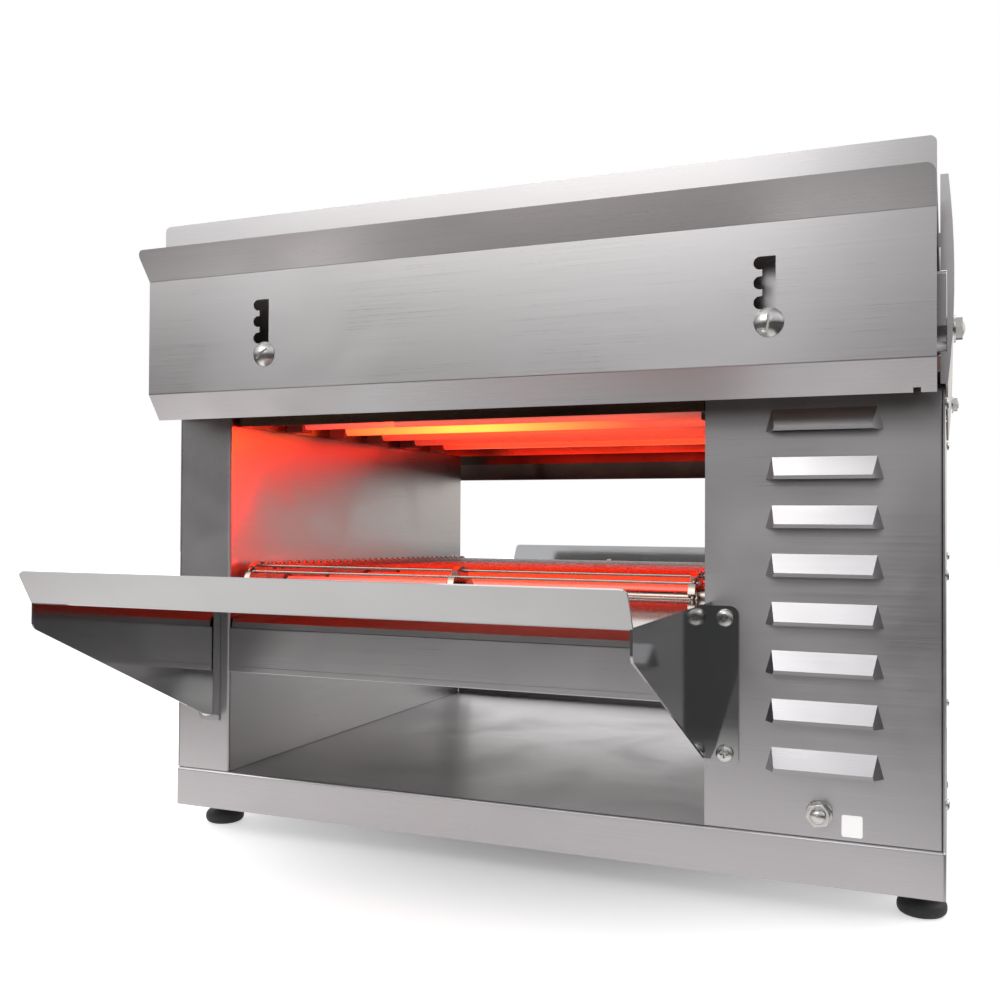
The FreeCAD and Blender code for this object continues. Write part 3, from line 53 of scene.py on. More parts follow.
def addCamera():
    data = bpy.data.cameras.new("photoCamera")
    data.lens = cameraView["lens"]
    data.sensor_width = 36
    data.shift_x = cameraView["shiftX"]
    data.shift_y = cameraView["shiftY"]
    data.clip_start = 0.01
    camera = bpy.data.objects.new("photoCamera", data)
    turn = Matrix.Rotation(cameraView["turnLeft"], 4, "Z")
    tilt = Matrix.Rotation(math.pi / 2 + cameraView["tiltUp"], 4, "X")
    roll = Matrix.Rotation(cameraView["roll"], 4, "Z")
    camera.matrix_world = Matrix.Translation(cameraView["place"]) @ turn @ tilt @ roll
    scene.collection.objects.link(camera)
    scene.camera = camera


def startMaterial(name):
    material = bpy.data.materials.new(name)
    material.use_nodes = True
    return material, material.node_tree, material.node_tree.nodes["Principled BSDF"]


def addNode(tree, kind, **settings):
    node = tree.nodes.new(kind)
    for name, value in settings.items():
        setattr(node, name, value)
    return node


def feed(tree, socket, value):
    # a number, a tuple or another socket into a socket
    if isinstance(value, (int, float, tuple)):
        socket.default_value = value
    else:
        tree.links.new(value, socket)


def calculate(tree, operation, *values):
    node = addNode(tree, "ShaderNodeMath", operation=operation)
    for socket, value in zip(node.inputs, values):
        feed(tree, socket, value)
    return node.outputs[0]


def vectorOf(tree, x=0.0, y=0.0, z=0.0):
    node = tree.nodes.new("ShaderNodeCombineXYZ")
    for socket, value in zip(node.inputs, (x, y, z)):
        feed(tree, socket, value)
    return node.outputs[0]


def placeOf(tree):
    # the point's own coordinates, one socket for each axis
    split = addNode(tree, "ShaderNodeSeparateXYZ")
    tree.links.new(addNode(tree, "ShaderNodeTexCoord").outputs["Object"], split.inputs[0])
    return split.outputs


def normalOf(tree):
    split = addNode(tree, "ShaderNodeSeparateXYZ")
    tree.links.new(addNode(tree, "ShaderNodeNewGeometry").outputs["Normal"], split.inputs[0])
    return split.outputs


noiseBand = (0.3, 0.7)  # where most of a noise's values lie


def spreadOut(tree, scale, stretch=(1, 1, 1), detail=4.0, roughness=0.55, distortion=0.0):
    # noise on Object coordinates; stretch gives its length along each axis
    coords = addNode(tree, "ShaderNodeTexCoord")
    mapping = addNode(tree, "ShaderNodeMapping")
    mapping.inputs["Scale"].default_value = [1 / s for s in stretch]
    noise = addNode(tree, "ShaderNodeTexNoise")
    noise.inputs["Scale"].default_value = scale
    noise.inputs["Detail"].default_value = detail
    noise.inputs["Roughness"].default_value = roughness
    noise.inputs["Distortion"].default_value = distortion
    tree.links.new(coords.outputs["Object"], mapping.inputs["Vector"])
    tree.links.new(mapping.outputs["Vector"], noise.inputs["Vector"])
    return noise.outputs["Fac"]


def remap(tree, value, fromLow, fromHigh, toLow, toHigh):
    ramp = addNode(tree, "ShaderNodeMapRange")
    limits = {"From Min": fromLow, "From Max": fromHigh, "To Min": toLow, "To Max": toHigh}
    for name, number in limits.items():
        ramp.inputs[name].default_value = number
    tree.links.new(value, ramp.inputs["Value"])
    return ramp.outputs["Result"]


def blendColors(tree, factor, low, high, kind="MIX"):
    mix = addNode(tree, "ShaderNodeMix", data_type="RGBA", blend_type=kind)
    feed(tree, mix.inputs["Factor"], factor)
    for socket, color in ((mix.inputs[6], low), (mix.inputs[7], high)):
        feed(tree, socket, (*color, 1) if isinstance(color, tuple) else color)
    return mix.outputs[2]


def mixNumbers(tree, factor, low, high):
    mix = addNode(tree, "ShaderNodeMix", data_type="FLOAT")
    for socket, number in ((mix.inputs["Factor"], factor), (mix.inputs[2], low), (mix.inputs[3], high)):
        feed(tree, socket, number)
    return mix.outputs[0]


def addBump(tree, shader, height, strength, distance):
    bump = addNode(tree, "ShaderNodeBump")
    bump.inputs["Strength"].default_value = strength
    bump.inputs["Distance"].default_value = distance
    tree.links.new(height, bump.inputs["Height"])
    tree.links.new(bump.outputs["Normal"], shader.inputs["Normal"])


floorLook = {"seen": 0.9, "patchShare": 0.93, "patches": 1.2, "roughness": 0.6, "fadeStart": 0.1, "fadeEnd": 0.55,
             "near": (0.82, 0.79, 0.775), "far": (0.03, 0.03, 0.03), "glow": 0.34, "tableMiddle": (-0.22, 0, 0),
             "tableStart": 0.56, "tableEnd": 0.95, "tableRight": 0.34, "tableRightEnd": 0.44, "half": 6}


def makeFloorPaint():
    # pale to the eye, melting into the backdrop; the steel mirrors a pale table in a dark room
    material, tree, shader = startMaterial("studioFloor")
    look = floorLook
    clean, worn = look["seen"], look["patchShare"] * look["seen"]
    seen = blendColors(tree, spreadOut(tree, look["patches"], detail=3), (clean,) * 3, (worn,) * 3)
    fromCamera = addNode(tree, "ShaderNodeLightPath").outputs["Is Camera Ray"]
    place = addNode(tree, "ShaderNodeTexCoord").outputs["Object"]
    reach = addNode(tree, "ShaderNodeVectorMath", operation="LENGTH")
    tree.links.new(place, reach.inputs[0])
    fromTable = addNode(tree, "ShaderNodeVectorMath", operation="DISTANCE")
    tree.links.new(place, fromTable.inputs[0])
    fromTable.inputs[1].default_value = look["tableMiddle"]
    around = remap(tree, fromTable.outputs["Value"], look["tableStart"], look["tableEnd"], 0, 1)
    right = remap(tree, placeOf(tree)["X"], look["tableRight"], look["tableRightEnd"], 0, 1)
    off = calculate(tree, "MAXIMUM", around, right)
    mirrored = blendColors(tree, off, look["near"], look["far"])
    tree.links.new(blendColors(tree, fromCamera, mirrored, seen), shader.inputs["Base Color"])
    fade = remap(tree, reach.outputs["Value"], look["fadeStart"], look["fadeEnd"], 0, sky["backdrop"])
    glow = mixNumbers(tree, fromCamera, remap(tree, off, 0, 1, look["glow"], 0), fade)
    tree.links.new(glow, shader.inputs["Emission Strength"])
    shader.inputs["Emission Color"].default_value = (1, 1, 1, 1)
    shader.inputs["Roughness"].default_value = look["roughness"]
    return material


def addFloor():
    mesh = bpy.data.meshes.new("studioFloor")
    half = floorLook["half"]
    corners = [(-half, -half, 0), (half, -half, 0), (half, half, 0), (-half, half, 0)]
    mesh.from_pydata(corners, [], [(0, 1, 2, 3)])
    floor = bpy.data.objects.new("studioFloor", mesh)
    mesh.materials.append(makeFloorPaint())
    scene.collection.objects.link(floor)


# brightness by direction; Top is the sine of the height where a tone is reached
sky = {"horizonTone": 0.03, "middleTone": 0.8, "skyTone": 1.15, "zenithTone": 0.5, "horizonTop": 0.05,
       "middleTop": 0.27, "skyTop": 0.7, "zenithTop": 0.98, "rearTone": 1.0, "rearSideTone": 0.85,
       "rearSpan": (0.1, 0.5), "rearSideSpan": (0.42, 0.6), "frontRightTone": 0.75, "frontSpan": (-0.2, -0.5),
       "frontRightSpan": (0.0, 0.2), "backdrop": 1.0, "lowTint": (1, 0.95, 0.885), "highTint": (0.98, 0.975, 1)}


def addWorld():
    # dark at the horizon, white above, a pale wall behind; the picture's own backdrop stays white
    world = bpy.data.worlds.new("studioWorld")
    scene.world = world
    world.use_nodes = True
    tree = world.node_tree
    background = tree.nodes["Background"]
    split = addNode(tree, "ShaderNodeSeparateXYZ")
    tree.links.new(addNode(tree, "ShaderNodeTexCoord").outputs["Generated"], split.inputs["Vector"])
    across, ahead, rise = split.outputs
    low = remap(tree, rise, sky["horizonTop"], sky["middleTop"], sky["horizonTone"], sky["middleTone"])
    high = remap(tree, rise, sky["middleTop"], sky["skyTop"], 0, 1)
    level = mixNumbers(tree, high, low, sky["skyTone"])
    zenith = remap(tree, rise, sky["skyTop"], sky["zenithTop"], 0, 1)
    level = mixNumbers(tree, zenith, level, sky["zenithTone"])
    dimming = remap(tree, across, *sky["frontRightSpan"], 1, sky["frontRightTone"])
    dimmed = calculate(tree, "MULTIPLY", level, dimming)
    level = mixNumbers(tree, remap(tree, ahead, *sky["frontSpan"], 0, 1), level, dimmed)
    wall = remap(tree, across, *sky["rearSideSpan"], sky["rearTone"], sky["rearSideTone"])
    behind = remap(tree, ahead, *sky["rearSpan"], 0, 1)
    level = mixNumbers(tree, behind, level, calculate(tree, "MAXIMUM", level, wall))
    fromCamera = addNode(tree, "ShaderNodeLightPath").outputs["Is Camera Ray"]
    level = mixNumbers(tree, fromCamera, level, sky["backdrop"])
    tree.links.new(level, background.inputs["Strength"])
    warmth = remap(tree, rise, sky["horizonTop"], sky["middleTop"], 0, 1)
    tint = blendColors(tree, warmth, sky["lowTint"], sky["highTint"])
    tree.links.new(blendColors(tree, fromCamera, tint, (1, 1, 1)), background.inputs["Color"])


glowColor = (1, 0.018, 0.002)
lights = [  # name, place, looks at, width, height, watts, color
    ("keySoftbox", (-0.8, -1.8, 1.5), (0, 0, 0.2), 1.9, 0.8, 14, (1, 0.99, 0.98)),
    ("rightSoftbox", (1.9, 0.3, 1.1), (0, 0, 0.25), 0.9, 0.9, 7, (1, 1, 1)),
    ("topSoftbox", (0.0, 0.35, 2.0), (0, 0, 0.4), 1.8, 1.4, 6, (1, 1, 1)),
    ("bayFill", (-0.05, 0.2, 0.1), (-0.08, -0.2, 0.07), 0.36, 0.06, 0.035, (1, 1, 1)),
    ("glowDown", (-0.0515, -0.05, 0.339), (-0.0515, -0.05, 0.2), 0.36, 0.24, 0.7, glowColor),
    ("glowUp", (-0.0515, 0, 0.215), (-0.0515, 0, 0.4), 0.36, 0.30, 0.22, glowColor),
    ("glowLeft", (-0.14, -0.14, 0.335), (-0.249, -0.17, 0.31), 0.05, 0.12, 0.5, glowColor),
    ("glowRear", (-0.05, 0.1, 0.33), (-0.05, 0.27, 0.345), 0.36, 0.03, 0.25, glowColor),
]


def addLights():
    for name, place, target, width, height, watts, color in lights:
        data = bpy.data.lights.new(name, "AREA")
        data.shape = "RECTANGLE"
        data.size = width
        data.size_y = height
        data.energy = watts
        data.color = color
        light = bpy.data.objects.new(name, data)
        aim = (Vector(target) - Vector(place)).to_track_quat("-Z", "Y")
        light.matrix_world = Matrix.Translation(place) @ aim.to_matrix().to_4x4()
        light.visible_camera = False
        scene.collection.objects.link(light)


addCamera()
addFloor()
addWorld()
addLights()
scene.view_settings.view_transform = "Standard"
print("camera, floor and light stand")


# Sheet steel

brushedSteel = {"tone": (0.58, 0.575, 0.585), "darker": (0.52, 0.515, 0.52), "streakWidth": 0.0005,
                "streakLength": 0.16, "roughness": (0.26, 0.34), "bump": 0.000005, "smudges": 7,
                "greaseSpan": (0.45, 0.75), "grease": 0.10, "clouds": 1.6, "warmCloud": (0.93, 0.90, 0.87),
                "coolCloud": (0.99, 0.995, 1.02), "stretch": 0.55, "stretchTurn": 0.25}


def makeBrushedSteel(name, grain, look=brushedSteel):
    material, tree, shader = startMaterial(name)
    stretch = [look["streakWidth"]] * 3
    stretch["XYZ".index(grain)] = look["streakLength"]
    streaks = spreadOut(tree, 1, stretch, detail=5, roughness=0.6)
    smudges = spreadOut(tree, look["smudges"], detail=3, distortion=0.6)
    clouds = spreadOut(tree, look["clouds"], detail=2)
    brushed = blendColors(tree, remap(tree, streaks, *noiseBand, 0, 1), look["darker"], look["tone"])
    tint = blendColors(tree, clouds, look["warmCloud"], look["coolCloud"])
    tree.links.new(blendColors(tree, 1.0, brushed, tint, "MULTIPLY"), shader.inputs["Base Color"])
    rough = remap(tree, streaks, *noiseBand, *look["roughness"])
    greasy = remap(tree, smudges, *look["greaseSpan"], 0, look["grease"])
    tree.links.new(calculate(tree, "ADD", rough, greasy), shader.inputs["Roughness"])
    shader.inputs["Metallic"].default_value = 1.0
    shader.inputs["Anisotropic"].default_value = look["stretch"]
    shader.inputs["Anisotropic Rotation"].default_value = look["stretchTurn"]
    along = addNode(tree, "ShaderNodeCombineXYZ")
    along.inputs[grain].default_value = 1
    tree.links.new(along.outputs[0], shader.inputs["Tangent"])
    addBump(tree, shader, streaks, 0.5, look["bump"])
    return material


def bowLouvres(material, share):
    # the pressed louvre fronts are bowed flatter than their solids, so they mirror lower
    tree = material.node_tree
    bump = next(node for node in tree.nodes if node.type == "BUMP")
    x, y, z = normalOf(tree)
    unit = addNode(tree, "ShaderNodeVectorMath", operation="NORMALIZE")
    tree.links.new(vectorOf(tree, x, y, calculate(tree, "MULTIPLY", z, share)), unit.inputs[0])
    tree.links.new(unit.outputs[0], bump.inputs["Normal"])
    return material


# browns for real heat browning, also used as painted shadow under the hood housing and as painted dark reflection
# inside the shields
browningAndShade = {"dark": (0.055, 0.036, 0.03), "light": (0.15, 0.10, 0.08), "patches": 22, "shieldSpan": (-0.04, -0.08),
            "hoodUnderside": (0.3512, 0.3506), "traySpan": (-0.6, 0.4), "trayShare": 0.6}


def addBrowningAndPaintedShade(material, mask):
    # darkens the masked faces with brown patches: real heat browning on the crumb tray's upper faces, and painted
    # shade on the shields' inner faces (a painted dark reflection over some real browning) and on the hood
    # housing's underside (a painted shadow)
    tree = material.node_tree
    shader = tree.nodes["Principled BSDF"]
    clean = shader.inputs["Base Color"].links[0].from_socket
    stainAndShadePatches = spreadOut(tree, browningAndShade["patches"], detail=4, distortion=0.7)
    brown = blendColors(tree, stainAndShadePatches, browningAndShade["dark"], browningAndShade["light"])
    tree.links.new(blendColors(tree, mask(tree), clean, brown), shader.inputs["Base Color"])
    return material


def towardsHood(tree):
    # 1 on faces that look back at the middle of the cabinet: the shields' inner faces, where the brown is a
    # painted dark reflection of the tunnel over some real heat browning
    facing = calculate(tree, "MULTIPLY", normalOf(tree)["Y"], placeOf(tree)["Y"])
    return remap(tree, facing, *browningAndShade["shieldSpan"], 0, 1)


def paintedShadeUnderHood(tree):
    # painted shadow: 1 below the hood housing's bottom sheet, so its underside is coloured dark as shade
    return remap(tree, placeOf(tree)["Z"], *browningAndShade["hoodUnderside"], 0, 1)


def lookingUp(tree):
    return remap(tree, normalOf(tree)["Z"], *browningAndShade["traySpan"], 0, browningAndShade["trayShare"])


polishedSteel = {"tone": (0.48, 0.487, 0.485), "darker": (0.43, 0.437, 0.435), "roughness": (0.05, 0.11),
                 "rubLength": 0.05, "rubWidth": 0.0012, "rubSpan": (0.35, 0.7), "blotches": 9, "bump": 0.000003}


def makePolishedSteel(name, look=polishedSteel):
    material, tree, shader = startMaterial(name)
    rubs = spreadOut(tree, 1, (look["rubLength"], look["rubWidth"], look["rubWidth"]), detail=4)
    blotches = spreadOut(tree, look["blotches"], detail=4, distortion=0.8)
    tree.links.new(blendColors(tree, blotches, look["darker"], look["tone"]), shader.inputs["Base Color"])
    rough = remap(tree, rubs, *look["rubSpan"], *look["roughness"])
    tree.links.new(rough, shader.inputs["Roughness"])
    shader.inputs["Metallic"].default_value = 1.0
    addBump(tree, shader, rubs, 0.4, look["bump"])
    return material


plating = {"tone": (0.72, 0.71, 0.69), "darkerShare": 0.8, "specks": 900, "dullPatches": 120,
           "roughness": (0.16, 0.34), "bump": 0.00002}


def makePlatedSteel(name, tone=plating["tone"]):
    material, tree, shader = startMaterial(name)
    specks = spreadOut(tree, plating["specks"], detail=3)
    dull = spreadOut(tree, plating["dullPatches"], detail=3)
    darker = tuple(plating["darkerShare"] * part for part in tone)
    tree.links.new(blendColors(tree, specks, darker, tone), shader.inputs["Base Color"])
    tree.links.new(remap(tree, dull, *noiseBand, *plating["roughness"]), shader.inputs["Roughness"])
    shader.inputs["Metallic"].default_value = 1.0
    addBump(tree, shader, specks, 0.3, plating["bump"])
    return material


heatTint = {"patches": 14, "patchStretch": (3, 1, 1), "roughness": (0.18, 0.36), "bump": 0.0001,
            "stops": [(0.3, (0.30, 0.19, 0.14)), (0.55, (0.36, 0.25, 0.18)), (0.75, (0.20, 0.10, 0.065))]}


def makeHeatedSteel(name):
    # brown bloom where the steel sits close to the tubes
    material, tree, shader = startMaterial(name)
    bloom = spreadOut(tree, heatTint["patches"], heatTint["patchStretch"], detail=4, distortion=1.2)
    ramp = addNode(tree, "ShaderNodeValToRGB")
    stops = ramp.color_ramp.elements
    stops.new(0.5)
    for index, (place, color) in enumerate(heatTint["stops"]):
        stops[index].position = place
        stops[index].color = (*color, 1)
    tree.links.new(bloom, ramp.inputs["Fac"])
    tree.links.new(ramp.outputs["Color"], shader.inputs["Base Color"])
    tree.links.new(remap(tree, bloom, *noiseBand, *heatTint["roughness"]), shader.inputs["Roughness"])
    shader.inputs["Metallic"].default_value = 1.0
    addBump(tree, shader, bloom, 0.2, heatTint["bump"])
    return material


# Rubber, plastic, ceramic and the glowing tubes

dullWear = {"patches": 30, "roughnessSpread": 0.08}


def makeDullStuff(name, dark, light, roughness, grainScale, bump):
    material, tree, shader = startMaterial(name)
    grain = spreadOut(tree, grainScale, detail=6)
    wear = spreadOut(tree, dullWear["patches"], detail=4)
    tree.links.new(blendColors(tree, wear, dark, light), shader.inputs["Base Color"])
    spread = dullWear["roughnessSpread"]
    rough = remap(tree, grain, *noiseBand, roughness - spread, roughness + spread)
    tree.links.new(rough, shader.inputs["Roughness"])
    addBump(tree, shader, grain, 0.5, bump)
    return material


# a tube glows most within hotHalf of the middle and dims over the next stretch, fade
hotTube = {"middle": (1.0, 0.40, 0.035), "end": (1.0, 0.06, 0.008), "power": 2.1, "endPower": 0.8,
           "tunnelMiddle": -0.1, "hotHalf": 0.02, "fade": 0.14}
coolTube = {"middle": (1.0, 0.05, 0.01), "end": (0.8, 0.02, 0.005), "power": 0.75, "endPower": 0.35,
            "tunnelMiddle": -0.0515, "hotHalf": 0.12, "fade": 0.06}
quartzLook = {"tone": (0.9, 0.75, 0.65, 1), "roughness": 0.35, "coils": 120, "coilWobble": 0.4,
              "coilDepth": (0.75, 1.1)}


def makeGlowingQuartz(name, look):
    material, tree, shader = startMaterial(name)
    offset = calculate(tree, "SUBTRACT", placeOf(tree)["X"], look["tunnelMiddle"])
    away = calculate(tree, "ABSOLUTE", offset)
    hot = remap(tree, away, look["hotHalf"], look["hotHalf"] + look["fade"], 1, 0)
    coils = addNode(tree, "ShaderNodeTexWave", wave_type="BANDS", bands_direction="X")
    coils.inputs["Scale"].default_value = quartzLook["coils"]
    coils.inputs["Distortion"].default_value = quartzLook["coilWobble"]
    tree.links.new(addNode(tree, "ShaderNodeTexCoord").outputs["Object"], coils.inputs["Vector"])
    tree.links.new(blendColors(tree, hot, look["end"], look["middle"]), shader.inputs["Emission Color"])
    power = remap(tree, hot, 0, 1, look["endPower"], look["power"])
    bands = remap(tree, coils.outputs["Fac"], 0, 1, *quartzLook["coilDepth"])
    tree.links.new(calculate(tree, "MULTIPLY", power, bands), shader.inputs["Emission Strength"])
    shader.inputs["Base Color"].default_value = quartzLook["tone"]
    shader.inputs["Roughness"].default_value = quartzLook["roughness"]
    return material


sheetFront = makeBrushedSteel("brushedSteelAcross", "X")
sheetSide = makeBrushedSteel("brushedSteelDeep", "Y")
sheetUpright = makeBrushedSteel("brushedSteelUpright", "Z")
# the shields' brown insides are partly a painted dark reflection, and the housing's brown underside is a painted
# shadow
shieldSteel = addBrowningAndPaintedShade(makeBrushedSteel("brushedShield", "X"), towardsHood)
housingSteel = addBrowningAndPaintedShade(makeBrushedSteel("brushedHousing", "X"), paintedShadeUnderHood)
louvreSteel = bowLouvres(makeBrushedSteel("brushedLouvres", "X"), 0.52)
crumbSteel = addBrowningAndPaintedShade(makeBrushedSteel("brushedTray", "Y"), lookingUp)
shelfSteel = makePolishedSteel("polishedSteel")
platedSteel = makePlatedSteel("platedSteel")
beltWire = makePlatedSteel("beltWire", (0.42, 0.36, 0.32))
bushBronze = makePlatedSteel("bushBronze", (0.62, 0.44, 0.22))
heatedSteel = makeHeatedSteel("heatTintedSteel")
footRubber = makeDullStuff("footRubber", (0.012, 0.012, 0.013), (0.03, 0.03, 0.032), 0.62, 400, 0.0001)
blackPlastic = makeDullStuff("blackPlastic", (0.018, 0.018, 0.02), (0.035, 0.035, 0.037), 0.42, 900, 0.00005)
motorPaint = makeDullStuff("motorPaint", (0.06, 0.07, 0.075), (0.11, 0.12, 0.13), 0.45, 300, 0.0001)
holderCeramic = makeDullStuff("holderCeramic", (0.07, 0.062, 0.055), (0.13, 0.115, 0.10), 0.6, 350, 0.0001)
lampLens = makeDullStuff("lampLens", (0.65, 0.07, 0.02), (0.8, 0.14, 0.04), 0.2, 500, 0.00002)
hotQuartz = makeGlowingQuartz("hotQuartz", hotTube)
coolQuartz = makeGlowingQuartz("coolQuartz", coolTube)

finishes = {
    sheetFront: ["base_pan", "right_rear_panel", "front_apron", "rear_apron", "top_tray"],
    louvreSteel: ["right_front_panel"],
    shieldSteel: ["front_shield", "rear_shield"],
    housingSteel: ["upper_housing"],
    sheetSide: ["left_inner_wall", "right_inner_wall", "right_side_cover", "left_side_cover", "tray_rails",
                "hood_side_right", "hood_side_left"],
    sheetUpright: ["hood_lugs"],
    shelfSteel: ["front_shelf", "rear_shelf"],
    crumbSteel: ["crumb_tray"],
    heatedSteel: ["upper_reflector"],
    footRubber: ["foot_front_left", "foot_front_right", "foot_rear_left", "foot_rear_right"],
    platedSteel: ["foot_bolts", "side_screws", "hood_cap_nuts", "shelf_screws", "shield_spacers",
                  "shield_screw_front_left", "shield_screw_front_right", "shield_screw_rear_left",
                  "shield_screw_rear_right", "bonding_terminal"],
    beltWire: ["conveyor_belt", "drive_shaft", "drive_sprockets", "idler_shaft", "idler_sprockets"],
    bushBronze: ["shaft_bearings"],
    motorPaint: ["gear_motor"],
    hotQuartz: ["upper_tube_2"],
    coolQuartz: ["upper_tube_1", "upper_tube_3", "upper_tube_4", "upper_tube_5", "lower_tubes"],
    holderCeramic: ["upper_tube_holders", "lower_tube_holders"],
    blackPlastic: ["control_bodies", "knob_belt_speed", "knob_lower_heat", "knob_upper_heat", "power_rocker",
                   "cable_gland", "fan_frame", "fan_rotor"],
    lampLens: ["pilot_lamp"],
}


def dressNodes():
    dressed = set()
    for material, names in finishes.items():
        for name in names:
            node = nodes[name]
            if not node.material_slots:
                node.data.materials.append(material)
            for slot in node.material_slots:
                slot.link = "OBJECT"
                slot.material = material
            dressed.add(name)
    print("finished nodes:", len(dressed), "left:", sorted(set(nodes) - dressed))


dressNodes()


# Geometry Nodes helpers

def startTree(name, numbers):
    tree = bpy.data.node_groups.new(name, "GeometryNodeTree")
    tree.interface.new_socket("Geometry", in_out="INPUT", socket_type="NodeSocketGeometry")
    for label, value in numbers.items():
        kind = "NodeSocketInt" if isinstance(value, int) else "NodeSocketFloat"
        socket = tree.interface.new_socket(label, in_out="INPUT", socket_type=kind)
        socket.default_value = value
    tree.interface.new_socket("Geometry", in_out="OUTPUT", socket_type="NodeSocketGeometry")
    return tree, tree.nodes.new("NodeGroupInput")


def treeInputs(sizes):
    # the sizes whose names start with a capital are inputs of the tree
    return {label: value for label, value in sizes.items() if label[0].isupper()}


def finishTree(tree, geometry, material):
    realize = tree.nodes.new("GeometryNodeRealizeInstances")
    paint = tree.nodes.new("GeometryNodeSetMaterial")
    paint.inputs["Material"].default_value = material
    end = tree.nodes.new("NodeGroupOutput")
    tree.links.new(geometry, realize.inputs[0])
    tree.links.new(realize.outputs[0], paint.inputs["Geometry"])
    tree.links.new(paint.outputs[0], end.inputs[0])


def sweepWire(tree, path, radius, sides):
    # a round wire along a path, closed at both ends
    ring = tree.nodes.new("GeometryNodeCurvePrimitiveCircle")
    ring.inputs["Resolution"].default_value = sides
    tree.links.new(radius, ring.inputs["Radius"])
    wire = tree.nodes.new("GeometryNodeCurveToMesh")
    wire.inputs["Fill Caps"].default_value = True
    tree.links.new(path, wire.inputs["Curve"])
    tree.links.new(ring.outputs[0], wire.inputs["Profile Curve"])
    return wire.outputs[0]


def straightPath(tree, start, end):
    line = tree.nodes.new("GeometryNodeCurvePrimitiveLine")
    tree.links.new(start, line.inputs["Start"])
    tree.links.new(end, line.inputs["End"])
    return line.outputs[0]


def shifted(tree, geometry, place=None, turn=None, scale=None):
    move = tree.nodes.new("GeometryNodeTransform")
    tree.links.new(geometry, move.inputs["Geometry"])
    if place is not None:
        tree.links.new(place, move.inputs["Translation"])
    if turn is not None:
        move.inputs["Rotation"].default_value = turn
    if scale is not None:
        move.inputs["Scale"].default_value = scale
    return move.outputs[0]


def joined(tree, *geometries):
    join = tree.nodes.new("GeometryNodeJoinGeometry")
    for geometry in geometries:
        tree.links.new(geometry, join.inputs[0])
    return join.outputs[0]


def instanceAlong(tree, points, shape, turnName="turn", sizeName=None):
    # one copy at each point, turned by the point's own attribute
    copies = tree.nodes.new("GeometryNodeInstanceOnPoints")
    turn = addNode(tree, "GeometryNodeInputNamedAttribute", data_type="FLOAT_VECTOR")
    turn.inputs["Name"].default_value = turnName
    angle = tree.nodes.new("FunctionNodeEulerToRotation")
    tree.links.new(turn.outputs[0], angle.inputs[0])
    tree.links.new(angle.outputs[0], copies.inputs["Rotation"])
    tree.links.new(points, copies.inputs["Points"])
    tree.links.new(shape, copies.inputs["Instance"])
    if sizeName:
        size = addNode(tree, "GeometryNodeInputNamedAttribute", data_type="FLOAT_VECTOR")
        size.inputs["Name"].default_value = sizeName
        tree.links.new(size.outputs[0], copies.inputs["Scale"])
    return copies.outputs[0]


def pointsObject(name, places, **attributes):
    mesh = bpy.data.meshes.new(name)
    mesh.from_pydata([tuple(place) for place in places], [], [])
    for label, values in attributes.items():
        layer = mesh.attributes.new(label, "FLOAT_VECTOR", "POINT")
        layer.data.foreach_set("vector", [number for value in values for number in value])
    points = bpy.data.objects.new(name, mesh)
    scene.collection.objects.link(points)
    return points


def growTree(name, source, tree, numbers, material):
    # puts the tree on the source, keeps the result as a plain mesh and drops the source
    modifier = source.modifiers.new(name, "NODES")
    modifier.node_group = tree
    for item in tree.interface.items_tree:
        if item.in_out == "INPUT" and item.name in numbers:
            modifier[item.identifier] = numbers[item.name]
    graph = bpy.context.evaluated_depsgraph_get()
    mesh = bpy.data.meshes.new_from_object(source.evaluated_get(graph))
    bpy.data.objects.remove(source)
    mesh.materials.clear()
    mesh.materials.append(material)
    piece = bpy.data.objects.new(name, mesh)
    scene.collection.objects.link(piece)
    return piece


# Mesh helpers

def loosePieces(name):
    # the corners of each separate solid of a node
    mesh = bmesh.new()
    mesh.from_mesh(nodes[name].data)
    bmesh.ops.remove_doubles(mesh, verts=mesh.verts, dist=1e-6)
    seen = set()
    corners = []
    for first in mesh.verts:
        if first in seen:
            continue
        seen.add(first)
        waiting = [first]
        group = []
        while waiting:
            vertex = waiting.pop()
            group.append(vertex.co.copy())
            for edge in vertex.link_edges:
                other = edge.other_vert(vertex)
                if other not in seen:
                    seen.add(other)
                    waiting.append(other)
        corners.append((Vector([min(co[i] for co in group) for i in range(3)]),
                        Vector([max(co[i] for co in group) for i in range(3)])))
    mesh.free()
    return corners


def middleOf(name):
    low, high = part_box(name)
    return (low + high) / 2


def boxBetween(low, high):
    # a box from one corner to the opposite one
    mesh = bmesh.new()
    bmesh.ops.create_cube(mesh, size=1)
    for vertex in mesh.verts:
        vertex.co = [high[i] if vertex.co[i] > 0 else low[i] for i in range(3)]
    return mesh


def spunBody(profile, bottom, top, count):
    # a closed round body about Z; the profile is (radius, height) from low to high
    mesh = bmesh.new()
    foot = mesh.verts.new((0, 0, bottom))
    crown = mesh.verts.new((0, 0, top))
    rows = []
    angles = [2 * math.pi * i / count for i in range(count)]
    for radius, height in profile:
        rows.append([mesh.verts.new((radius * math.cos(angle), radius * math.sin(angle), height))
                     for angle in angles])
    for i in range(count):
        after = (i + 1) % count
        mesh.faces.new((foot, rows[0][after], rows[0][i]))
        for low, high in zip(rows, rows[1:]):
            mesh.faces.new((low[i], low[after], high[after], high[i]))
        mesh.faces.new((rows[-1][i], rows[-1][after], crown))
    return mesh


def booleanShape(body, others, operation):
    for other in others:
        cut = body.modifiers.new("cut", "BOOLEAN")
        cut.operation = operation
        cut.solver = "EXACT"
        cut.object = other
    graph = bpy.context.evaluated_depsgraph_get()
    shape = bpy.data.meshes.new_from_object(body.evaluated_get(graph))
    for spare in [body] + others:
        bpy.data.objects.remove(spare)
    return shape


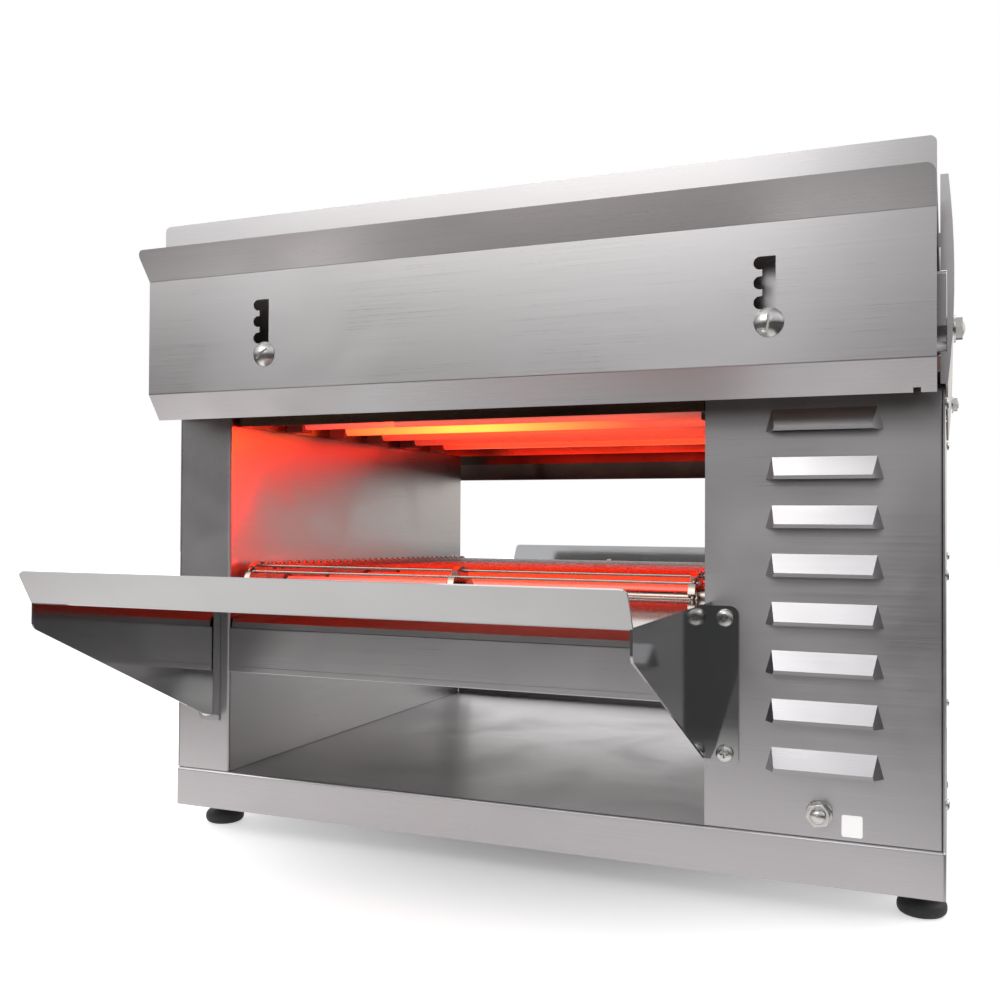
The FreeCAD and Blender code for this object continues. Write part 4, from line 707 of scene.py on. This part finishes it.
def meshObject(name, mesh):
    data = bpy.data.meshes.new(name)
    mesh.normal_update()
    mesh.to_mesh(data)
    mesh.free()
    made = bpy.data.objects.new(name, data)
    scene.collection.objects.link(made)
    return made


# Wire belt: hooked rungs, each hung on the next one

beltSizes = {"Wire Radius": 0.00125, "Half Width": 0.1902, "Pitch": 0.012, "Hook Radius": 0.0027,
             "teeth": 8, "linksPerRun": 34, "hookSweep": 285, "hookSteps": 9, "insetInRadii": 2.2, "rungSides": 7,
             "hookSides": 6}


def makeBeltTree():
    numbers = treeInputs(beltSizes)
    tree, start = startTree("beltLinks", numbers)
    radius, half, pitch, hook = (start.outputs[label] for label in numbers)
    inset = calculate(tree, "MULTIPLY", radius, beltSizes["insetInRadii"])
    inside = calculate(tree, "SUBTRACT", half, inset)
    leftEnd = vectorOf(tree, calculate(tree, "MULTIPLY", half, -1))
    rightEnd = vectorOf(tree, half)
    rung = sweepWire(tree, straightPath(tree, leftEnd, rightEnd), radius, beltSizes["rungSides"])
    legEnd = vectorOf(tree, inside, calculate(tree, "SUBTRACT", pitch, hook))
    leg = sweepWire(tree, straightPath(tree, rightEnd, legEnd), radius, beltSizes["hookSides"])
    arc = tree.nodes.new("GeometryNodeCurveArc")
    arc.inputs["Resolution"].default_value = beltSizes["hookSteps"]
    arc.inputs["Start Angle"].default_value = math.pi
    arc.inputs["Sweep Angle"].default_value = -math.radians(beltSizes["hookSweep"])
    tree.links.new(hook, arc.inputs["Radius"])
    upright = shifted(tree, arc.outputs[0], turn=(math.pi / 2, 0, math.pi / 2))
    nextRung = vectorOf(tree, inside, pitch)
    loop = sweepWire(tree, shifted(tree, upright, place=nextRung), radius, beltSizes["hookSides"])
    side = joined(tree, leg, loop)
    mirrored = shifted(tree, side, scale=(-1, 1, 1))
    flip = tree.nodes.new("GeometryNodeFlipFaces")
    tree.links.new(mirrored, flip.inputs[0])
    link = joined(tree, rung, side, flip.outputs[0])
    finishTree(tree, instanceAlong(tree, start.outputs["Geometry"], link), beltWire)
    return tree


def beltPlaces():
    # a rung in every tooth gap, round both shafts
    drive, idler = middleOf("drive_shaft"), middleOf("idler_shaft")
    middle = middleOf("conveyor_belt").x
    pitch, teeth = beltSizes["Pitch"], beltSizes["teeth"]
    radius = pitch / (2 * math.sin(math.pi / teeth))
    tilt = math.atan2(drive.z - idler.z, idler.y - drive.y)
    forward = Vector((0, math.cos(tilt), -math.sin(tilt)))
    up = Vector((0, math.sin(tilt), math.cos(tilt)))
    driveMid = Vector((middle, drive.y, drive.z))
    idlerMid = Vector((middle, idler.y, idler.z))
    places = []
    for side, start, end in ((1, driveMid, idlerMid), (-1, idlerMid, driveMid)):
        out, along = up * (side * radius), forward * side
        for i in range(beltSizes["linksPerRun"] + 1):
            places.append(start + out + along * pitch * i)
        for i in range(1, teeth // 2):
            angle = 2 * math.pi * i / teeth
            places.append(end + out * math.cos(angle) + along * radius * math.sin(angle))
    turns = []
    for i, place in enumerate(places):
        ahead = places[(i + 1) % len(places)] - place
        turns.append((math.atan2(ahead.z, ahead.y), 0, 0))
    return places, turns


def makeBelt():
    places, turns = beltPlaces()
    points = pointsObject("beltPoints", places, turn=turns)
    belt = growTree("wire_belt", points, makeBeltTree(), beltSizes, beltWire)
    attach(belt, "cabinet")
    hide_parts("conveyor_belt")
    print("belt links:", len(places), "faces:", len(belt.data.polygons))


makeBelt()


# Cross-recessed screws

screwShape = {"segments": 24, "domeRings": 5, "domeFullness": 0.6, "rimShare": 0.32, "recessWidth": 0.22,
              "recessLength": 1.1, "recessTaper": 0.45, "recessDepth": 0.62, "cutterTop": 1.2}
shankNumbers = {"Shank Sides": 12}


def crossHead():
    # head of radius 1 and height 1 standing on the plane, cross cut in its top
    rings = screwShape["domeRings"]
    profile = [(1.0, 0.0), (1.0, screwShape["rimShare"])]
    for i in range(1, rings):
        angle = math.pi / 2 * i / rings
        rise = screwShape["rimShare"] + (1 - screwShape["rimShare"]) * math.sin(angle)
        profile.append((math.cos(angle) ** screwShape["domeFullness"], rise))
    head = meshObject("screwHead", spunBody(profile, 0.0, 1.0, screwShape["segments"]))
    cutters = []
    for turn in (0, math.pi / 2):
        arm = bmesh.new()
        bmesh.ops.create_cube(arm, size=1)
        for vertex in arm.verts:
            deep = vertex.co.z < 0
            vertex.co.x *= screwShape["recessLength"] * (screwShape["recessTaper"] if deep else 1)
            vertex.co.y *= screwShape["recessWidth"]
            vertex.co.z = 1 - screwShape["recessDepth"] if deep else screwShape["cutterTop"]
        bmesh.ops.rotate(arm, verts=arm.verts, matrix=Matrix.Rotation(turn, 3, "Z"))
        cutters.append(meshObject("recessArm", arm))
    return booleanShape(head, cutters, "DIFFERENCE")


def makeScrewTree(headMesh):
    tree, start = startTree("screwField", shankNumbers)
    template = bpy.data.objects.new("screwTemplate", headMesh)
    info = addNode(tree, "GeometryNodeObjectInfo")
    info.inputs["Object"].default_value = template
    heads = instanceAlong(tree, start.outputs["Geometry"], info.outputs["Geometry"], sizeName="headSize")
    rod = tree.nodes.new("GeometryNodeMeshCylinder")
    rod.inputs["Radius"].default_value = 1
    rod.inputs["Depth"].default_value = 1
    tree.links.new(start.outputs["Shank Sides"], rod.inputs["Vertices"])
    shank = shifted(tree, rod.outputs["Mesh"], place=vectorOf(tree, 0, 0, -0.5))
    shanks = instanceAlong(tree, start.outputs["Geometry"], shank, sizeName="shankSize")
    finishTree(tree, joined(tree, heads, shanks), platedSteel)
    return tree


screwFields = {  # node: axis, head height, shank radius, how far each cross is turned past the last one
    "shelf_screws": {"axis": 1, "head": 0.0036, "shank": 0.003, "crossTurn": 0.9},
    "side_screws": {"axis": 0, "head": 0.0024, "shank": 0.002, "crossTurn": 1.7},
}


def makeScrews(tree, node, sizes):
    axis = sizes["axis"]
    places, turns, heads, shanks = [], [], [], []
    for i, (low, high) in enumerate(loosePieces(node)):
        middle = (low + high) / 2
        side = 1 if middle[axis] > 0 else -1
        tip = high[axis] if side > 0 else low[axis]
        seat = middle.copy()
        seat[axis] = tip - side * sizes["head"]
        places.append(seat)
        outward = Vector((0, 0, 0))
        outward[axis] = side
        cross = Matrix.Rotation(sizes["crossTurn"] * i, 3, "Z").to_quaternion()
        turns.append((outward.to_track_quat("Z", "Y") @ cross).to_euler())
        across = (high - low)[(axis + 1) % 3] / 2
        heads.append((across, across, sizes["head"]))
        shanks.append((sizes["shank"], sizes["shank"], (high - low)[axis] - sizes["head"]))
    points = pointsObject(node + "_points", places, turn=turns, headSize=heads, shankSize=shanks)
    piece = growTree("cross_" + node, points, tree, shankNumbers, platedSteel)
    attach(piece, "cabinet")
    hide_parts(node)
    print(node, "screws:", len(places), "faces:", len(piece.data.polygons))


screwTree = makeScrewTree(crossHead())
for node, sizes in screwFields.items():
    makeScrews(screwTree, node, sizes)


# Bare square beside the bonding nut

panelFace = -0.230
squarePlate = {"left": 0.2369, "right": 0.2500, "low": 0.0578, "high": 0.0720, "thick": 0.0002, "corner": 0.0006,
               "dark": (0.80, 0.80, 0.79), "light": (0.88, 0.88, 0.87), "roughness": (0.35, 0.5),
               "paintedGlow": 0.32}


def makeVinyl():
    material, tree, shader = startMaterial("whiteVinyl")
    fibres = spreadOut(tree, 700, detail=5)
    tone = blendColors(tree, fibres, squarePlate["dark"], squarePlate["light"])
    tree.links.new(tone, shader.inputs["Base Color"])
    rough = remap(tree, fibres, *noiseBand, *squarePlate["roughness"])
    tree.links.new(rough, shader.inputs["Roughness"])
    # painted light: the white vinyl gives off a faint glow of its own, so it reads brighter than its lighting
    # makes it
    shader.inputs["Emission Color"].default_value = (1, 1, 1, 1)
    shader.inputs["Emission Strength"].default_value = squarePlate["paintedGlow"]
    addBump(tree, shader, fibres, 0.3, 0.00002)
    return material


def makeSquarePlate():
    mesh = boxBetween((squarePlate["left"], panelFace - squarePlate["thick"], squarePlate["low"]),
                      (squarePlate["right"], panelFace, squarePlate["high"]))
    uprights = [edge for edge in mesh.edges if edge.verts[0].co.y != edge.verts[1].co.y]
    bmesh.ops.bevel(mesh, geom=uprights, offset=squarePlate["corner"], segments=3, affect="EDGES")
    bmesh.ops.recalc_face_normals(mesh, faces=mesh.faces)
    plate = meshObject("bare_square", mesh)
    plate.data.materials.append(makeVinyl())
    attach(plate, "cabinet")
    print("square plate on the panel")


makeSquarePlate()


# Bonding stud: chamfered nuts, washer and a domed end

bondingSizes = {"washerRadius": 0.0086, "washer": 0.0014, "washerEdge": 0.00042, "acrossFlats": 0.014,
                "nut": 0.0065, "nutEdge": 0.0006, "nutNarrow": 0.98, "nutWide": 1.01, "nutTurn": 0.2,
                "studRadius": 0.0040, "insideReach": 0.014, "capRadius": 0.0052, "capHeight": 0.0045,
                "capStraight": 0.0014, "capRings": 6, "sheet": 0.0015, "segments": 36}


def chamferedNut(bottom):
    sizes = bondingSizes
    flats = sizes["acrossFlats"] / 2
    corner = flats / math.cos(math.pi / 6)
    top = bottom + sizes["nut"]
    prism = meshObject("nutPrism", spunBody([(corner, bottom), (corner, top)], bottom, top, 6))
    narrow, wide, edge = flats * sizes["nutNarrow"], corner * sizes["nutWide"], sizes["nutEdge"]
    profile = [(narrow, bottom), (wide, bottom + edge), (wide, top - edge), (narrow, top)]
    turned = meshObject("nutTurned", spunBody(profile, bottom, top, sizes["segments"]))
    return booleanShape(prism, [turned], "INTERSECT")


def domedEnd(bottom):
    sizes = bondingSizes
    straight = bottom + sizes["capStraight"]
    profile = [(sizes["capRadius"], bottom), (sizes["capRadius"], straight)]
    for i in range(1, sizes["capRings"]):
        angle = math.pi / 2 * i / sizes["capRings"]
        rise = (sizes["capHeight"] - sizes["capStraight"]) * math.sin(angle)
        profile.append((sizes["capRadius"] * math.cos(angle), straight + rise))
    return spunBody(profile, bottom, bottom + sizes["capHeight"], sizes["segments"])


def makeBondingStud():
    sizes = bondingSizes
    middle = middleOf("bonding_terminal")
    seat = sizes["washer"]
    wide, edge, inside = sizes["washerRadius"], sizes["washerEdge"], -sizes["insideReach"]
    rim = [(wide - edge, 0), (wide, edge), (wide, seat - edge), (wide - edge, seat)]
    washer = spunBody(rim, 0, seat, sizes["segments"])
    rod = [(sizes["studRadius"], inside), (sizes["studRadius"], seat)]
    stud = spunBody(rod, inside, seat, sizes["segments"])
    cap = domedEnd(seat + sizes["nut"])
    whole = bmesh.new()
    for part in (meshObject("washer", washer), meshObject("stud", stud), meshObject("cap", cap)):
        whole.from_mesh(part.data)
        bpy.data.objects.remove(part)
    for bottom in (seat, -sizes["sheet"] - sizes["nut"]):
        whole.from_mesh(chamferedNut(bottom))
    nutTurn = Matrix.Rotation(sizes["nutTurn"], 3, "Z").to_quaternion()
    aim = Vector((0, -1, 0)).to_track_quat("Z", "Y") @ nutTurn
    place = Matrix.Translation((middle.x, panelFace, middle.z))
    whole.transform(place @ aim.to_matrix().to_4x4())
    piece = meshObject("bonding_stud", whole)
    piece.data.materials.append(platedSteel)
    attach(piece, "cabinet")
    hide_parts("bonding_terminal")
    print("bonding stud faces:", len(piece.data.polygons))


makeBondingStud()


# Upstand at the rear edge of the bay floor

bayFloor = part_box("base_pan")[1].z
bayLip = {"high": 0.0075, "thick": 0.0015, "sunk": 0.0002, "fromRear": 0.004, "clear": 0.0006, "edge": 0.0003}


def makeBayLip():
    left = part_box("left_inner_wall")[1].x + bayLip["clear"]
    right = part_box("right_inner_wall")[0].x - bayLip["clear"]
    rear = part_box("right_rear_panel")[1].y - bayLip["fromRear"]
    mesh = boxBetween((left, rear - bayLip["thick"], bayFloor - bayLip["sunk"]),
                      (right, rear, bayFloor + bayLip["high"]))
    tops = [edge for edge in mesh.edges if all(vertex.co.z > bayFloor for vertex in edge.verts)]
    bmesh.ops.bevel(mesh, geom=tops, offset=bayLip["edge"], segments=2, affect="EDGES")
    lip = meshObject("bay_rear_lip", mesh)
    lip.data.materials.append(sheetFront)
    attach(lip, "cabinet")
    print("upstand behind the bay floor")


makeBayLip()


# Dials behind the knobs: strokes that grow as the knob turns up

dialSizes = {"Strokes": 10, "Radius": 0.0228, "Sweep": 4.712389, "Stroke Length": 0.0042, "Stroke Width": 0.0009,
             "Thickness": 0.0002, "firstShare": 0.35, "raisedShare": 0.4}
knobLine = {"width": 0.0014, "from": 0.0035, "to": 0.0118, "thick": 0.0002, "edge": 0.00008}
knobNames = ["knob_belt_speed", "knob_lower_heat", "knob_upper_heat"]
dialInk = makeDullStuff("dialInk", (0.02, 0.02, 0.022), (0.035, 0.035, 0.036), 0.5, 800, 0.00002)
linePaint = makeDullStuff("linePaint", (0.72, 0.72, 0.71), (0.82, 0.82, 0.81), 0.4, 800, 0.00002)


def makeDialTree():
    numbers = treeInputs(dialSizes)
    tree, start = startTree("dialStrokes", numbers)
    count, radius, sweep, length, width, thick = (start.outputs[label] for label in numbers)
    row = tree.nodes.new("GeometryNodeMeshLine")
    tree.links.new(count, row.inputs["Count"])
    share = calculate(tree, "DIVIDE", tree.nodes.new("GeometryNodeInputIndex").outputs[0],
                      calculate(tree, "SUBTRACT", count, 1))
    angle = calculate(tree, "MULTIPLY", share, sweep)
    put = tree.nodes.new("GeometryNodeSetPosition")
    tree.links.new(row.outputs[0], put.inputs["Geometry"])
    x = calculate(tree, "MULTIPLY", calculate(tree, "SINE", angle), radius)
    z = calculate(tree, "MULTIPLY", calculate(tree, "COSINE", angle), radius)
    tree.links.new(vectorOf(tree, x, 0, z), put.inputs["Position"])
    stroke = tree.nodes.new("GeometryNodeMeshCube")
    tree.links.new(vectorOf(tree, width, thick, length), stroke.inputs["Size"])
    half = vectorOf(tree, 0, 0, calculate(tree, "DIVIDE", length, 2))
    raised = shifted(tree, stroke.outputs["Mesh"], place=half)
    copies = tree.nodes.new("GeometryNodeInstanceOnPoints")
    tree.links.new(put.outputs[0], copies.inputs["Points"])
    tree.links.new(raised, copies.inputs["Instance"])
    turn = tree.nodes.new("FunctionNodeEulerToRotation")
    tree.links.new(vectorOf(tree, 0, angle, 0), turn.inputs[0])
    tree.links.new(turn.outputs[0], copies.inputs["Rotation"])
    grow = calculate(tree, "MULTIPLY_ADD", share, 1 - dialSizes["firstShare"], dialSizes["firstShare"])
    tree.links.new(vectorOf(tree, 1, 1, grow), copies.inputs["Scale"])
    dials = tree.nodes.new("GeometryNodeInstanceOnPoints")
    tree.links.new(start.outputs["Geometry"], dials.inputs["Points"])
    tree.links.new(copies.outputs[0], dials.inputs["Instance"])
    finishTree(tree, dials.outputs[0], dialInk)
    return tree


def makeDials():
    face = -panelFace + dialSizes["Thickness"] * dialSizes["raisedShare"]
    places = []
    for name in knobNames:
        knob = middleOf(name)
        places.append((knob.x, face, knob.z))
    dials = growTree("knob_dials", pointsObject("dialPoints", places), makeDialTree(), dialSizes, dialInk)
    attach(dials, "cabinet")
    for name, place in zip(knobNames, places):
        x, y, z = place[0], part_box(name)[1].y, place[2]
        halfWidth, halfThick = knobLine["width"] / 2, knobLine["thick"] / 2
        mesh = boxBetween((x - halfWidth, y - halfThick, z + knobLine["from"]),
                          (x + halfWidth, y + halfThick, z + knobLine["to"]))
        bmesh.ops.bevel(mesh, geom=mesh.edges[:], offset=knobLine["edge"], segments=2, affect="EDGES")
        line = meshObject(name + "_line", mesh)
        line.data.materials.append(linePaint)
        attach(line, name)
    print("dials behind the knobs:", len(places))


makeDials()
